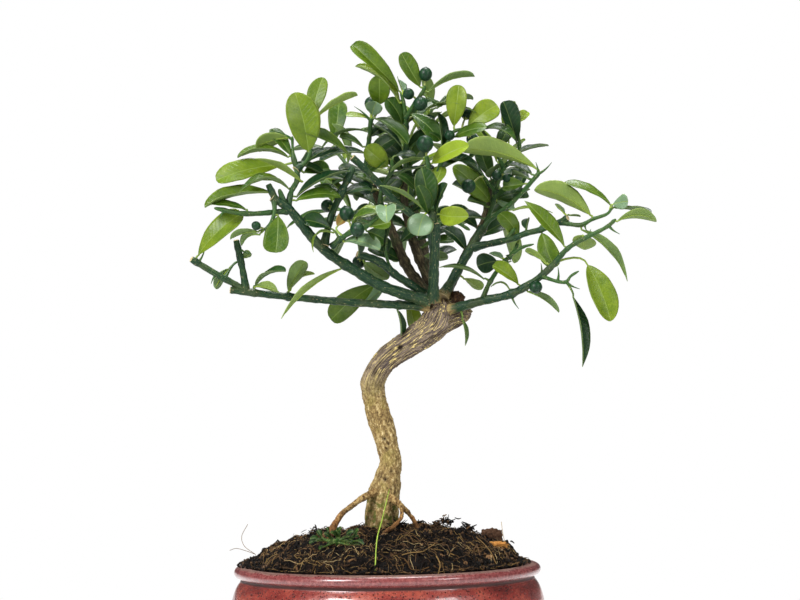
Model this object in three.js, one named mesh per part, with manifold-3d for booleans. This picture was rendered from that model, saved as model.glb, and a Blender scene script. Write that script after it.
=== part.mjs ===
// A small kumquat tree in a round glazed pot.
// Millimetres, +Z up, the front faces -Y. The origin is the middle of the pot's flat base.
import * as THREE from "three";
import { mergeVertices } from "three/addons/utils/BufferGeometryUtils.js";
import Module from "manifold-3d";

const wasm = await Module();
wasm.setup();

// Pot
const POT_SIDES = 36;
const BASE_RADIUS = 52;
const FLOOR_THICKNESS = 9;
const DRAIN_HOLES = 3;
const DRAIN_RADIUS = 4.5;
const DRAIN_CIRCLE = 17;
const INNER_FLOOR_RADIUS = 44;
// Radius and height up the outside, over the lip and down the inside
const POT_OUTSIDE = [[0, 0], [BASE_RADIUS, 0], [60.5, 7.4], [69.8, 22], [75.8, 36], [77.8, 48],
  [76, 56.5], [73, 61.8]];
const POT_LIP = [[75.6, 63.3], [76.3, 65.6], [74.6, 67.9], [71.6, 68.3], [68.6, 67.5]];
const POT_INSIDE = [[67.4, 65.4], [69.8, 48], [66.4, 31], [57, 15],
  [INNER_FLOOR_RADIUS, FLOOR_THICKNESS], [0, FLOOR_THICKNESS]];

// Drain mesh on the pot's floor
const MESH_RADIUS = 27;
const MESH_THICKNESS = 1;
const MESH_HOLE = 5;
const MESH_PITCH = 8.6;
const MESH_ROWS = 2;

// Soil
const SOIL_RADIUS = 66.6;
const SOIL_EDGE_HEIGHT = 68;
const SOIL_SHOULDER = 6.5;
const SOIL_SHOULDER_SHARPNESS = 22;
const SOIL_RISE = 12;
const SOIL_RISE_SHARPNESS = 1.9;
const SOIL_BUMPS = 1.1;
const SOIL_RINGS = [1, 0.97, 0.91, 0.78, 0.54, 0.28, 0.02];
// Clods that stand out of the mound: x, y, reach, height
const SOIL_CLODS = [[49, -3, 10, 1.8], [38, -9, 6, 2.6], [-33, -6, 8, 1.6], [20, 8, 10, 2.4],
  [12, -32, 8, 1.2]];

// Clearance between pieces that touch, and the size below which a step in a surface is smoothed away
const GAP = 0.3;
const SHORTEST_STEP = 0.1;
const WELD = 1e-4;

// Tree
const TRUNK_SIDES = 9;
const LIMB_SIDES = 5;
const TWIG_SIDES = 4;
const THORN_SIDES = 3;
const STUMP_SIDES = 7;
const HOLE_SIDES = 16;
const DISC_SIDES = 32;
const TWIG_RADIUS = 1.4;
const THORN_RADIUS = 0.55;
const STALK_RADIUS = 0.5;
const LEAF_THICKNESS = 0.9;
// Place along the blade and share of its full width
const LEAF_OUTLINE = [[0, 0.1], [0.34, 0.9], [0.74, 0.88], [1, 0.1]];
const SHORT_OUTLINE = [[0, 0.1], [0.5, 1], [1, 0.1]];
const SHORT_LEAF = 15;
const SHORTEST_STALK = 1.5;
// A stalk or thorn keeps this share of a stretch of wood away from its ends
const FROM_ENDS = 0.03;

// How the tree's places are given: as seen from the front, across and up in the plane of the pot's
// axis, then how far behind that plane. The eye stands in front, and the head is tilted a little.
const EYE = new THREE.Vector3(8.2, -1320, 169);
const VIEW_MIDDLE = { across: 6, up: 200 };
const HEAD_TILT = THREE.MathUtils.degToRad(0.8);

function seen(across, up, back) {
  const right = across - VIEW_MIDDLE.across;
  const above = up - VIEW_MIDDLE.up;
  const x = right * Math.cos(HEAD_TILT) + above * Math.sin(HEAD_TILT);
  const z = VIEW_MIDDLE.up - right * Math.sin(HEAD_TILT) + above * Math.cos(HEAD_TILT) - EYE.z;
  const reach = 1 - back / EYE.y;
  return new THREE.Vector3(EYE.x + x * reach, back, EYE.z + z * reach);
}

// Trunk and roots: across, up, back, radius
const TRUNK = [[-3.5, 84, 0, 8], [-3, 95, 0, 8.4], [-1.6, 104, 0, 8], [0, 111, 0.5, 6.8],
  [1.3, 119, 1, 5.8], [-0.3, 127, 2, 5.8], [-2.5, 135.5, 3, 6.2], [-5.2, 143.5, 3, 6.3],
  [-7, 151.5, 2, 5.9], [-7.4, 158.5, 0, 5.7], [-5, 165, -2, 5.8], [-1.1, 170, -3, 5.9],
  [4.3, 174.5, -3, 6.2], [10.6, 178.5, -2, 6.5], [17, 182.7, -1, 7.2], [22.6, 187, 0, 8],
  [25.8, 192.5, 0, 8], [26.8, 198.5, 0, 5.6]];
const STUMP = [[20, 186, 0, 7.2], [26.5, 189.5, 0, 7.1], [32.5, 191.6, 1, 6.4], [37.5, 193.2, 2, 5.2],
  [41, 193.8, 2, 3.4]];
const DEAD_CORE = [[30, 193, 1, 5], [33.5, 199, 2, 4.6], [35, 204, 3, 3]];
const SURFACE_ROOTS = [
  [[-4, 105, -4, 2.2], [-11, 101.8, -10, 1.8], [-16.5, 98.4, -13, 1.7], [-23, 93, -16, 1.6],
    [-27.5, 86.5, -18, 1.7], [-30, 79, -20, 1.4], [-36, 70, -24, 0.9]],
  [[0, 102.5, -6, 1.8], [4.5, 99, -9, 1.5], [8.5, 95.5, -9, 1.3], [12, 91, -8, 1.3],
    [14.5, 86, -8, 1.4], [18, 76, -9, 1]],
  [[5, 99, -8, 1.3], [6.8, 95, -12, 1.1], [6, 90.5, -17, 1.1], [2, 86.5, -22, 1.1],
    [-2.5, 83, -27, 1.1], [-6, 77, -31, 0.8]],
];
const BURIED_ROOTS = 5;
const BURIED_ROOT = [[0, 0, 6], [12, -9, 4], [30, -25, 2], [42, -44, 0.8]];
const ROOT_CROWN_HEIGHT = 86;

// Branches. wood: across, up, back and radius of each bend. thorns: foot and tip, across and up.
// leaves: foot across and up, tip across and up, how far the tip lies behind the foot, full width,
// face (0 faces the viewer, 90 up, 180 away), arch as a share of the length, and for a few leaves
// the place on the wood, across and up, where the stalk starts.
const BRANCHES = [
  {
    name: "limb_left_low",
    wood: [
      [[20, 197, -4, 2.3], [-14, 198.5, -14, 1.9], [-48.5, 201.5, -24, 1.8], [-79, 205, -30, 1.8]],
      [[-72, 204.4, -28, 1.4], [-76, 207.5, -29, 1.5], [-86, 213, -33, 1.5], [-98.5, 220.5, -38, 1.6]],
      [[-71, 204.2, -28, 1.5], [-72.5, 214, -30, 1.6], [-76, 230, -34, 1.6]],
      [[-82, 210.5, -31, 0.8], [-78, 217, -24, 0.6], [-75, 219.5, -20, 0.5]],
    ],
    thorns: [[-95, 219, -91.5, 226], [-86, 212.5, -88.5, 208], [-74.5, 226, -68, 223]],
    leaves: [
      [-95, 222.5, -74, 244, -6, 13, 35, 0.1],
      [-78.5, 217, -87, 206, -4, 6, 150, 0.05],
      [-74.5, 220, -68.5, 223.5, 0, 5, 140, 0.05],
      [-66.5, 207.5, -51.5, 215, -10, 9, 88, 0.12],
      [-66, 207, -55, 205, -8, 8, 130, 0.05],
      [-50, 204.5, -41.5, 219.5, -4, 9, 150, 0.1],
      [-49, 205, -36.5, 213, 4, 6, 120, 0.25],
      [5, 195, 6.5, 182, 4, 6, 60, 0.05],
    ],
  },
  {
    name: "limb_left",
    wood: [
      [[20, 199.5, -6, 2.9], [0.5, 205.5, -16, 2.8], [-14.5, 213.5, -23, 2.7],
        [-33.5, 226.5, -31, 2.4], [-49, 245, -40, 2.2], [-58, 251.5, -43, 2.1]],
      [[-50.5, 244.5, -40, 1.3], [-71, 243.2, -48, 1.2], [-87, 246, -52, 1]],
      [[-56, 249.5, -42, 1.5], [-60, 258, -43, 1.4]],
      [[-51.5, 247, -41, 1.3], [-54.5, 255.5, -42, 1.2]],
    ],
    thorns: [[-40, 234, -38, 229], [-82, 245, -84, 241]],
    leaves: [
      [-23.5, 216, -54, 191, -10, 7, 120, 0.08],
      [-57.5, 254.5, -92, 247.5, -6, 12, 60, 0.05],
      [-71, 245.5, -88, 249, -2, 8, 60, 0.05],
    ],
  },
  {
    name: "limb_left_mid",
    wood: [
      [[22, 200.5, -3, 2.2], [11, 208, -9, 2.1], [4.5, 212, -13, 2], [-5, 219.5, -18, 2],
        [-15.5, 223, -22, 1.8]],
      [[3, 213.5, -12, 0.8], [0, 219, -12, 0.7], [-1.5, 226, -12, 0.6]],
    ],
    thorns: [],
    leaves: [
      [-1, 222, -2.5, 231.5, 2, 7, 40, 0.05],
      [-1, 228, 1, 237.5, 4, 7, 60, 0.05],
      [-12, 219, 0, 211, 12, 9, 150, 0],
    ],
  },
  {
    name: "limb_crown_front",
    wood: [
      [[23, 202, 5, 2.1], [22.5, 227.5, 0, 2], [18.5, 236, -4, 1.9], [11.5, 243, -8, 1.8],
        [4.5, 248.5, -11, 1.7], [-9, 263, -18, 1.7], [-18, 271.5, -22, 1.8]],
    ],
    thorns: [[-2, 256, -5, 252]],
    leaves: [
      [-19, 272.5, -45.5, 286, -14, 10, 60, 0.06],
    ],
  },
  {
    name: "limb_centre",
    wood: [
      [[22.5, 200, -7, 2.6], [23, 215, -16, 2.5], [24, 239, -28, 2.5]],
      [[24, 237.5, -27, 1], [30, 241, -30, 0.9], [41, 235, -34, 0.9]],
    ],
    thorns: [[33, 239.5, 32.5, 235]],
    leaves: [],
  },
  {
    name: "limb_right_up",
    wood: [
      [[27.5, 202, -2, 2.4], [38, 220, 4, 2.2], [48, 237, 9, 2.2]],
      [[47, 234, 8, 1.3], [49.8, 239, 8, 1.3], [54, 242.5, 6, 1.2], [63.5, 250, 0, 1.1],
        [76, 264, -8, 1]],
    ],
    thorns: [[76, 264, 82, 269], [75.5, 263.5, 74, 269], [56.5, 245, 59, 241.5]],
    leaves: [
      [75, 265.5, 37.8, 275.5, -14, 14, 140, 0.1],
      [38, 211, 47, 205.5, 6, 7, 130, 0.05],
      [69.5, 258.5, 57.5, 256.5, 4, 9, 30, 0.05],
      [73.5, 262.5, 60, 268.5, 6, 8, 60, 0.05],
      [72, 260.5, 62.5, 263, 8, 8, 80, 0.05],
    ],
  },
  {
    name: "limb_right_mid",
    wood: [
      [[43, 226.5, 6, 1.8], [61.5, 230.5, -4, 1.6], [68.5, 233.2, -8, 1.5], [79, 236, -14, 1.4],
        [90, 241.2, -20, 1.4]],
      [[86, 239, -18, 1.1], [96, 237.5, -22, 1], [102.5, 240.5, -24, 0.9], [109.5, 243, -26, 0.8],
        [112, 246, -27, 0.7]],
      [[60, 230.5, -3, 1], [63.5, 236, -5, 0.9]],
      [[76, 235, -12, 0.9], [78.5, 238.5, -14, 0.9]],
    ],
    thorns: [[98.5, 238.5, 99.5, 234.5]],
    leaves: [
      [77, 233.5, 83.5, 216.5, -4, 10.5, 10, 0.05],
      [97, 235.5, 121.5, 210.5, -6, 9, 125, 0.08],
      [101.5, 242.5, 73.5, 256, -8, 12.5, 150, 0.1],
      [88.5, 243.5, 84, 248.5, -2, 5, 120, 0],
      [91, 242.8, 96.5, 242.3, -1, 4, 100, 0],
      [111.5, 248, 88.2, 259, 2, 9, 65, 0.1],
      [112.5, 248, 120, 249.5, -6, 8, 30, 0],
      [114, 246.5, 132, 244, -4, 8, 90, 0.02],
      [69, 235.5, 70.5, 241, 2, 7, 60, 0],
    ],
  },
  {
    name: "limb_right_low",
    wood: [
      [[28, 194.5, -3, 2.4], [47, 199.5, -12, 2.2], [61.5, 203, -18, 2], [74, 210, -24, 1.7],
        [82, 217, -28, 1.5], [91.5, 227, -34, 1.2], [108.5, 236, -42, 1], [114, 240.5, -45, 0.8]],
      [[76.5, 212, -26, 0.9], [84, 209.5, -28, 0.8], [89, 209, -30, 0.8], [91.5, 212, -31, 0.7],
        [95.5, 214.5, -32, 0.6]],
    ],
    thorns: [[61.5, 203, 65.5, 195.5], [84.5, 209.5, 85, 216.5], [89, 209, 96, 205.5],
      [76.5, 212.5, 76.5, 218.5], [99.5, 231.5, 101.5, 235.5], [110, 237, 116, 233]],
    leaves: [
      [65.3, 208, 52.5, 217.5, -4, 10, 40, 0.1],
      [61, 205.5, 51.5, 207, -2, 4, 90, 0.3],
      [70, 204.5, 85.8, 194, -3, 7, 120, 0.06],
      [88.5, 227, 68.5, 250, 4, 10, 40, 0.06],
      [79.5, 218.5, 69, 225.5, 2, 6, 120, 0.05],
      [100, 217.5, 111.5, 189.5, -6, 14, 15, 0.05, 84, 219],
      [93, 201.5, 99, 166.8, -4, 10, 60, 0.03],
      [97.5, 232.5, 98.5, 225.5, 10, 12, 160, 0],
      [113, 239.5, 134.5, 240.5, -4, 9, 130, 0.2],
      [37.5, 190.5, 39.5, 177, 6, 6, 150, 0.05],
    ],
  },
  {
    name: "limb_rear_left",
    wood: [
      [[22, 200, 6, 3], [10, 216, 14, 2.6], [3, 232, 18, 2.3], [-3, 246, 18, 1.9], [-8, 258, 14, 1.6]],
    ],
    thorns: [],
    leaves: [
      [8, 219, -10, 226, 4, 9, 40, 0.08],
      [5, 228, 20, 238, 2, 9, 30, 0.08],
      [1, 235, -16, 246, 6, 10, 30, 0.08],
      [-1, 241, 14, 250, 4, 9, 40, 0.06],
      [-3, 246, -22, 254, 2, 10, 60, 0.1],
      [-5, 251, 6, 262, -2, 9, 20, 0.08],
      [-7, 256, -24, 268, 4, 9, 40, 0.06],
      [-8, 259, -16, 250, 6, 8, 120, 0.05],
    ],
  },
  {
    name: "limb_rear_mid",
    wood: [
      [[25, 200, 8, 2.6], [16, 220, 20, 2.5], [11, 236, 22, 2.2], [8, 252, 18, 1.8], [9, 266, 12, 1.5]],
    ],
    thorns: [],
    leaves: [
      [17, 226.5, 33, 229.5, 2, 9, 60, 0.08],
      [18, 222, 30, 221.5, 2, 8, 130, 0.05],
      [13, 229, 30, 238, 4, 9, 30, 0.08],
      [11, 236, -4, 240, 2, 9, 50, 0.06],
      [10, 243, 27, 254, 0, 10, 30, 0.1],
      [8, 250, -6, 260, -2, 9, 40, 0.08],
      [8, 256, 24, 266, 2, 10, 50, 0.08],
      [9, 262, -4, 276, 0, 9, 30, 0.08],
      [9, 266, 20, 280, -4, 9, 20, 0.08],
    ],
  },
  {
    name: "limb_rear_right",
    wood: [
      [[28, 200, 6, 2.4], [38, 221, 16, 2.1], [47, 237, 22, 1.8], [50, 250, 21, 1.5],
        [52, 260, 17, 1.3]],
    ],
    thorns: [],
    leaves: [
      [40, 224, 28, 236, 4, 9, 30, 0.08],
      [43, 230, 60, 240, 2, 10, 30, 0.08],
      [46, 235, 30, 246, 0, 10, 40, 0.08],
      [48, 242, 64, 256, -2, 10, 20, 0.08],
      [49, 247, 32, 258, 2, 10, 50, 0.1],
      [50, 252, 40, 268, -4, 9, 20, 0.08],
      [51, 257, 66, 264, -4, 9, 60, 0.1],
      [52, 260, 46, 276, 2, 9, 20, 0.06],
    ],
  },
  {
    name: "limb_back",
    wood: [
      [[25, 196, 8, 2.8], [21, 214, 30, 2.4], [16, 234, 48, 2], [12, 250, 60, 1.6]],
    ],
    thorns: [],
    leaves: [
      [20, 219, 34, 226, 4, 9, 50, 0.08],
      [18, 226, 2, 232, 4, 9, 60, 0.08],
      [16, 234, 32, 246, 0, 10, 30, 0.08],
      [14, 242, -4, 250, 2, 10, 40, 0.1],
      [12, 250, 24, 264, -4, 10, 20, 0.08],
    ],
  },
  {
    name: "shoot_left_upright",
    wood: [
      [[-50, 246.5, -40, 1.2], [-48.5, 254, -38, 1.1], [-45.5, 260, -36, 1.1], [-46, 266, -35, 1],
        [-47.5, 272.5, -34, 0.8], [-48, 282, -33, 0.6]],
      [[-46, 265, -35, 0.9], [-40, 271, -32, 0.9], [-38, 283, -30, 0.8], [-37.5, 291, -28, 0.7]],
    ],
    thorns: [[-48, 281.5, -57, 284.5], [-46.5, 257.5, -50, 252.5]],
    leaves: [
      [-39.5, 273, -46.5, 304, -6, 17, 10, 0.05],
      [-38, 292, -32.5, 311.5, 4, 10, 20, 0.05],
      [-36, 292, -15, 302.5, 2, 9, 115, 0.06],
      [-49.5, 281.5, -66.5, 277, -4, 10, 140, 0.05],
      [-48.5, 272, -75.5, 271, -6, 9, 70, 0.14],
      [-53, 267.5, -86, 260.5, -8, 13, 35, 0.08],
      [-43, 259.5, -66.5, 271.5, -16, 8, 110, 0.05],
      [-49.5, 256, -75, 255, -12, 9, 75, 0.2],
      [-48, 269.5, -31.5, 262.5, 6, 8, 60, 0.05],
      [-46, 252, -19, 264.5, 8, 9, 65, 0.08],
      [-46, 250, -23.5, 253, 6, 9, 50, 0.1],
      [-42, 264, -29, 266, 14, 9, 30, 0],
      [-46.5, 262, -31, 275, 12, 9, 50, 0.1],
      [-43, 268, -26, 276, 6, 8, 60, 0.1],
      [-47.5, 271, -58, 286, 4, 9, 40, 0.06],
    ],
  },
  {
    name: "shoot_left_side",
    wood: [
      [[-57, 250.5, -43, 1.1], [-57, 243, -45, 0.9], [-60, 236.5, -46, 0.8], [-63.5, 235, -46, 0.7]],
    ],
    thorns: [[-60, 236.5, -62, 231]],
    leaves: [
      [-55, 242, -56, 223.5, -4, 13.5, 20, 0.05],
      [-65, 234.5, -79, 230.5, -4, 6, 110, 0.1],
      [-64.5, 233, -73.5, 227.5, 2, 6, 100, 0.2],
    ],
  },
  {
    name: "shoot_left_stick",
    wood: [
      [[-32, 227.5, -31, 1.7], [-28, 243, -29, 1.7], [-17.5, 266.5, -28, 1.7]],
    ],
    thorns: [[-23, 255, -20, 250]],
    leaves: [
      [-25, 254, -36, 258, 6, 9, 60, 0.05],
      [-24, 252, -8, 256, 6, 9, 60, 0.1],
      [-20, 260, -34, 262, 8, 8, 50, 0.08],
    ],
  },
  {
    name: "shoot_left_front",
    wood: [
      [[-28, 227, -30, 1.2], [-21, 232.5, -36, 1], [-12, 236, -41, 0.9], [-4, 243, -43, 0.8],
        [-1, 248, -43, 0.7]],
    ],
    thorns: [],
    leaves: [
      [-22, 229.5, -4, 225, -8, 11, 50, 0.08],
      [-20, 234, -5.5, 243.5, -8, 8, 70, 0.2],
      [-10, 236.5, 1.5, 239, -2, 9, 30, 0],
      [-16, 241.5, -6, 247, 6, 8, 40, 0],
      [-10.5, 234.5, -2, 230.5, 8, 9, 20, 0],
      [-25.5, 237, -20, 243, 2, 7, 30, 0],
      [-1, 247.5, -0.5, 239.5, -15, 11.5, 0, 0.1],
      [-29, 236, -42.5, 240.5, -4, 10, 40, 0.05],
      [-27.5, 234, -38, 224.5, -10, 5, 90, 0.3],
      [-17, 234, -14, 222, 8, 8, 60, 0.05],
      [-6, 241, 8, 246, 6, 8, 50, 0.05],
    ],
  },
  {
    name: "shoot_centre_tuft",
    wood: [
      [[23.5, 236, -27, 1.4], [22.5, 242, -29, 1.2], [22, 246, -30, 0.9]],
    ],
    thorns: [],
    leaves: [
      [21.5, 244, 17, 266, -6, 12, 10, 0.08],
      [20, 243.5, 15.5, 257, -12, 8, 30, 0.05],
      [24, 244, 29.5, 258.5, -6, 8, 50, 0.05],
      [19.5, 244.5, -3.8, 258.2, 2, 8, 95, 0.06],
      [26, 243, 39.5, 242, -14, 11, 0, 0.1],
      [18.5, 243, 15, 232.5, -18, 13, 0, 0.1],
    ],
  },
  {
    name: "shoot_crown_front",
    wood: [
      [[24, 236, -24, 1.2], [21.5, 252, -20, 1.1], [20, 268, -18, 1], [19, 273, -18, 0.8]],
    ],
    thorns: [],
    leaves: [
      [22, 268.5, 40, 277.8, -10, 10, 20, 0.15],
      [17.5, 271, 1, 265, -6, 7, 95, 0.08],
      [18, 267, 3, 262.5, 2, 7, 80, 0.05],
      [23, 257, 27, 266.5, 4, 8, 20, 0.05],
    ],
  },
  {
    name: "shoot_crown_left",
    wood: [
      [[-7, 254, 14, 1.3], [-11, 262.5, 12, 1.2], [-10, 275, 8, 1.1], [-8.5, 291, 2, 0.9]],
    ],
    thorns: [[-9, 290.5, -17, 297]],
    leaves: [
      [-12, 285.5, -35, 275, -2, 8, 85, 0.15],
      [-12.5, 277, -24, 282.5, -4, 6, 60, 0.05],
      [-10, 291.5, -21, 293, -4, 5, 60, 0.05],
      [-8, 292.5, -6, 299, -10, 9, 10, 0],
      [-4.5, 298, -4.5, 312.5, -10, 11, 10, 0.1],
      [-6, 291, 10, 279, -8, 9, 40, 0.08],
      [-7, 288, 7.5, 276.5, -2, 6, 70, 0.05],
      [-12, 274, -34.5, 270, -2, 10, 60, 0.08],
      [-11, 265, -28, 258, 4, 9, 60, 0.1],
      [-10.5, 270, 4, 282, -6, 9, 40, 0.08],
      [-10, 281, 2, 290, 8, 8, 30, 0.05],
    ],
  },
  {
    name: "shoot_mid_left",
    wood: [
      [[-4, 247, 17, 1.2], [-3, 256, 8, 1.1], [1.5, 264, 0, 1], [2, 270, -4, 0.8]],
    ],
    thorns: [],
    leaves: [
      [1, 266, -11, 276.5, -8, 11, 10, 0.1],
      [0, 271, -10, 265, -2, 8, 60, 0.05],
      [4, 272.5, 14, 273.5, 2, 7, 60, 0.05],
      [-4.5, 257.5, -16, 262, 0, 8, 70, 0.05],
      [-1, 261, 14, 262, 6, 8, 50, 0.08],
      [1.5, 265, 14, 256, 4, 8, 60, 0.1],
    ],
  },
  {
    name: "shoot_crown_mid",
    wood: [
      [[9, 262, 14, 1.4], [9, 278.5, 6, 1.2], [9, 289.5, 2, 1], [8, 298, -2, 0.9], [6.5, 304, -3, 0.8]],
    ],
    thorns: [],
    leaves: [
      [6, 299, -16, 317.8, -2, 11, 60, 0.1],
      [5.5, 305, -18.2, 327.8, 2, 12, 30, 0.1],
      [7.5, 305, 5.5, 311, 6, 8, 60, 0],
      [8, 286.5, -0.5, 301, -6, 10, 30, 0.1],
      [10, 294.5, 26, 279.5, -8, 10, 35, 0.1],
      [7.5, 287, 1, 293, 8, 9, 30, 0],
      [9, 270, -4, 282, 4, 9, 40, 0.08],
      [9, 275, 24, 286, 6, 9, 40, 0.08],
      [9, 282, -6, 288, 8, 8, 60, 0.08],
      [9, 288, 22, 300, 8, 9, 30, 0.08],
    ],
  },
  {
    name: "shoot_crown_top",
    wood: [
      [[9, 291, 1, 1], [12.5, 297.5, -3, 0.9], [17.5, 304.5, -6, 0.8], [18.5, 308, -7, 0.7]],
    ],
    thorns: [],
    leaves: [
      [16, 307, 6.5, 323.8, -4, 9.5, 25, 0.08],
      [20, 304.5, 43.5, 312.2, -4, 9, 110, 0.1],
      [19.5, 302, 27, 297, -2, 6, 70, 0],
      [19, 296, 44.2, 294.2, -8, 9, 100, 0.13],
    ],
  },
  {
    name: "shoot_crown_right",
    wood: [
      [[21, 256, -19, 1.1], [26, 267.5, -14, 1], [29.5, 277.5, -10, 0.9], [32.5, 284, -8, 0.8],
        [38.5, 286, -8, 0.7]],
    ],
    thorns: [],
    leaves: [
      [33, 287, 35.5, 307.8, -4, 11, 15, 0.1],
      [40, 287, 54.5, 298, -2, 12, 20, 0.1],
      [32, 281.5, 49.5, 286.5, -8, 9.5, 50, 0.1],
      [27, 276, 26, 294, 6, 8.5, 60, 0.05],
      [27, 271, 44, 268, 6, 9, 60, 0.1],
      [24.5, 264, 38, 272, 10, 9, 40, 0.08],
      [30, 279, 20, 288, 6, 8, 40, 0.06],
    ],
  },
  {
    name: "shoot_right_top",
    wood: [
      [[51, 257, 18, 1.2], [58, 266, 10, 1], [65.5, 275, 4, 0.9], [64.5, 287.5, 2, 0.7]],
      [[58, 266, 10, 0.9], [52, 278, 2, 0.8], [47, 285, -2, 0.7]],
    ],
    thorns: [],
    leaves: [
      [48, 286, 63.5, 281, -6, 9, 60, 0.15],
      [65, 277.5, 58.2, 299.5, -6, 12, 20, 0.05],
      [65, 289, 70, 294.5, 2, 6, 20, 0],
      [54, 276, 40, 271, 6, 9, 60, 0.08],
      [56, 263, 70, 262, 6, 9, 60, 0.08],
      [60, 269, 50, 262, 8, 8, 90, 0.08],
      [54, 274, 62, 288, 6, 8, 30, 0.06],
    ],
  },
  {
    name: "shoot_right_inner",
    wood: [
      [[48, 235, 9, 1.1], [52, 247, 12, 1], [55, 258, 12, 0.9], [58, 266, 6, 0.8]],
      [[54, 254, 12, 0.8], [47, 263, 6, 0.7]],
    ],
    thorns: [],
    leaves: [
      [51, 249.5, 32.5, 267, -12, 12, 30, 0.08],
      [54.5, 250, 63, 245.5, -4, 7, 60, 0],
      [50.5, 246.5, 40, 250, -8, 8, 40, 0.05],
      [46.5, 264, 34.5, 271.5, 4, 9, 60, 0.05],
      [53, 250, 70, 254, 4, 9, 50, 0.1],
      [49, 241, 34, 240, 4, 9, 60, 0.08],
    ],
  },
  {
    name: "shoot_right_low",
    wood: [
      [[47, 199.5, -12, 1.1], [50.5, 208, -10, 1.1], [56, 216.5, -6, 1], [63, 224.5, -2, 0.9],
        [65, 229, 0, 0.8]],
      [[60, 221, -4, 0.8], [66.5, 226, -4, 0.7], [73, 228, -6, 0.6]],
    ],
    thorns: [[58, 219, 62, 219.5]],
    leaves: [
      [48, 211, 26, 217.5, -10, 8, 80, 0.08],
      [54.5, 219.5, 44.8, 217, -6, 10.5, 5, 0],
      [57.5, 221, 51, 224, 4, 6, 60, 0],
      [65, 231.5, 56, 243.5, 0, 10, 30, 0.1],
    ],
  },
  {
    name: "shoot_below_left",
    wood: [
      [[18, 200, 8, 1.2], [8, 205, 13, 1], [-4, 208.5, 15, 0.8]],
    ],
    thorns: [],
    leaves: [
      [-6.5, 208, -28.5, 190, 0, 13, 0, 0.08],
      [-2, 205.5, -13, 198, 8, 9, 40, 0],
      [9, 202, 13.5, 186, 6, 9, 20, 0.05],
    ],
  },
];

// Leafy shoots behind the crown: name, number of leaves, length of a leaf, and the twig
const SPRAYS = [
  ["spray_back_left_low", 7, 27, [[3, 232, 18, 1.3], [-12, 240, 36, 1.1], [-28, 247, 54, 0.8]]],
  ["spray_back_left_high", 7, 26, [[-3, 246, 18, 1.3], [-16, 262, 32, 1.1], [-28, 277, 42, 0.8]]],
  ["spray_back_low", 7, 28, [[16, 234, 48, 1.3], [12, 240, 64, 1.1], [8, 246, 82, 0.8]]],
  ["spray_back_high", 8, 27, [[12, 247, 58, 1.4], [11, 264, 66, 1.1], [8, 281, 70, 0.8]]],
  ["spray_back_right_low", 7, 28, [[46, 236, 21, 1.3], [56, 242, 40, 1.1], [63, 248, 60, 0.8]]],
  ["spray_back_right_high", 7, 25, [[50, 250, 21, 1.3], [55, 264, 34, 1.1], [60, 276, 44, 0.8]]],
  ["spray_back_crown", 8, 24, [[9, 264, 13, 1.3], [17, 280, 24, 1.1], [22, 296, 30, 0.8]]],
];
const GOLDEN_ANGLE = THREE.MathUtils.degToRad(137.5);
const SPRAY_STALK = 3.5;
const SPRAY_WIDTH = 0.4;
const SPRAY_ARCH = 0.08;
// Share of the twig without leaves, and how much a leaf leans along the twig at its foot and tip
const SPRAY_BARE = 0.33;
const SPRAY_LEAN = [0.45, 1.05];
const SPRAY_DROOP = 0.12;
const SPRAY_UP = new THREE.Vector3(0, -0.25, 1);

// Fruits: the branch that bears each, centre across and up, how far behind the wood, radius
const FRUITS = [
  ["fruit_top", "shoot_crown_top", 18.8, 313.2, -2, 3.5],
  ["fruit_crown_left", "shoot_crown_top", 10.3, 303.3, -6, 3],
  ["fruit_crown_right", "shoot_crown_top", 16.2, 298.4, -9, 3.75],
  ["fruit_behind_leaf", "shoot_crown_left", -8.5, 298.5, 5, 3.5],
  ["fruit_crown_rear", "shoot_crown_mid", 21, 291, 8, 2.6],
  ["fruit_yellow_leaf", "shoot_crown_right", 39.5, 293.5, 5, 3.25],
  ["fruit_brown", "shoot_crown_right", 30.9, 282.5, -5, 2.7],
  ["fruit_right_rear", "shoot_crown_right", 42.3, 280.5, 7, 3.25],
  ["fruit_front_large", "shoot_crown_front", 18.5, 278.2, -8, 4.4],
  ["fruit_pair_left", "shoot_right_inner", 54.4, 262.4, -8, 2.7],
  ["fruit_pair_right", "shoot_right_inner", 59.9, 260.9, -9, 2.7],
  ["fruit_inner_right", "shoot_right_inner", 40.3, 257, -8, 3.7],
  ["fruit_inner_left", "shoot_mid_left", -11.5, 256.3, 0, 3.7],
  ["fruit_stick", "shoot_left_stick", -30.3, 247.1, 6, 3.4],
  ["fruit_left_upper", "shoot_left_front", -20.7, 243.3, 2, 3.8],
  ["fruit_left_lower", "shoot_left_front", -15.4, 235.3, -8, 3.7],
  ["fruit_left_small", "shoot_left_side", -66, 237.2, -2, 2.3],
  ["fruit_under_limb", "limb_left_mid", -14.5, 219, 7, 3.5],
  ["fruit_right_low", "limb_right_low", 73.9, 206.5, -5, 3.4],
];
const FRUIT_LENGTH = 1.08;

// Things on the soil
const GRASS = [[-6.5, 63, -65, 0.7], [-5.5, 80, -59, 0.7], [-3, 90, -52, 0.6], [-0.5, 100.5, -45, 0.5],
  [0.8, 105.5, -41, 0.3]];
const WEED_STEM = [[-25, 74, -40, 0.8], [-25.5, 80.5, -46, 0.7]];
const WEED_LEAVES = [
  [-26, 81, -37, 82.5, -8, 5, 60, 0.1],
  [-25, 81, -17, 84, -6, 5, 60, 0.1],
  [-26, 80.5, -33, 77.5, -10, 5, 60, 0.1],
  [-25, 80.5, -19, 76.5, -10, 4, 60, 0.1],
];
const CHIP = { width: 9, depth: 3.6, height: 9, across: 51.8, up: 81.2, back: -2, turn: 0.2, lean: 0.12 };

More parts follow.
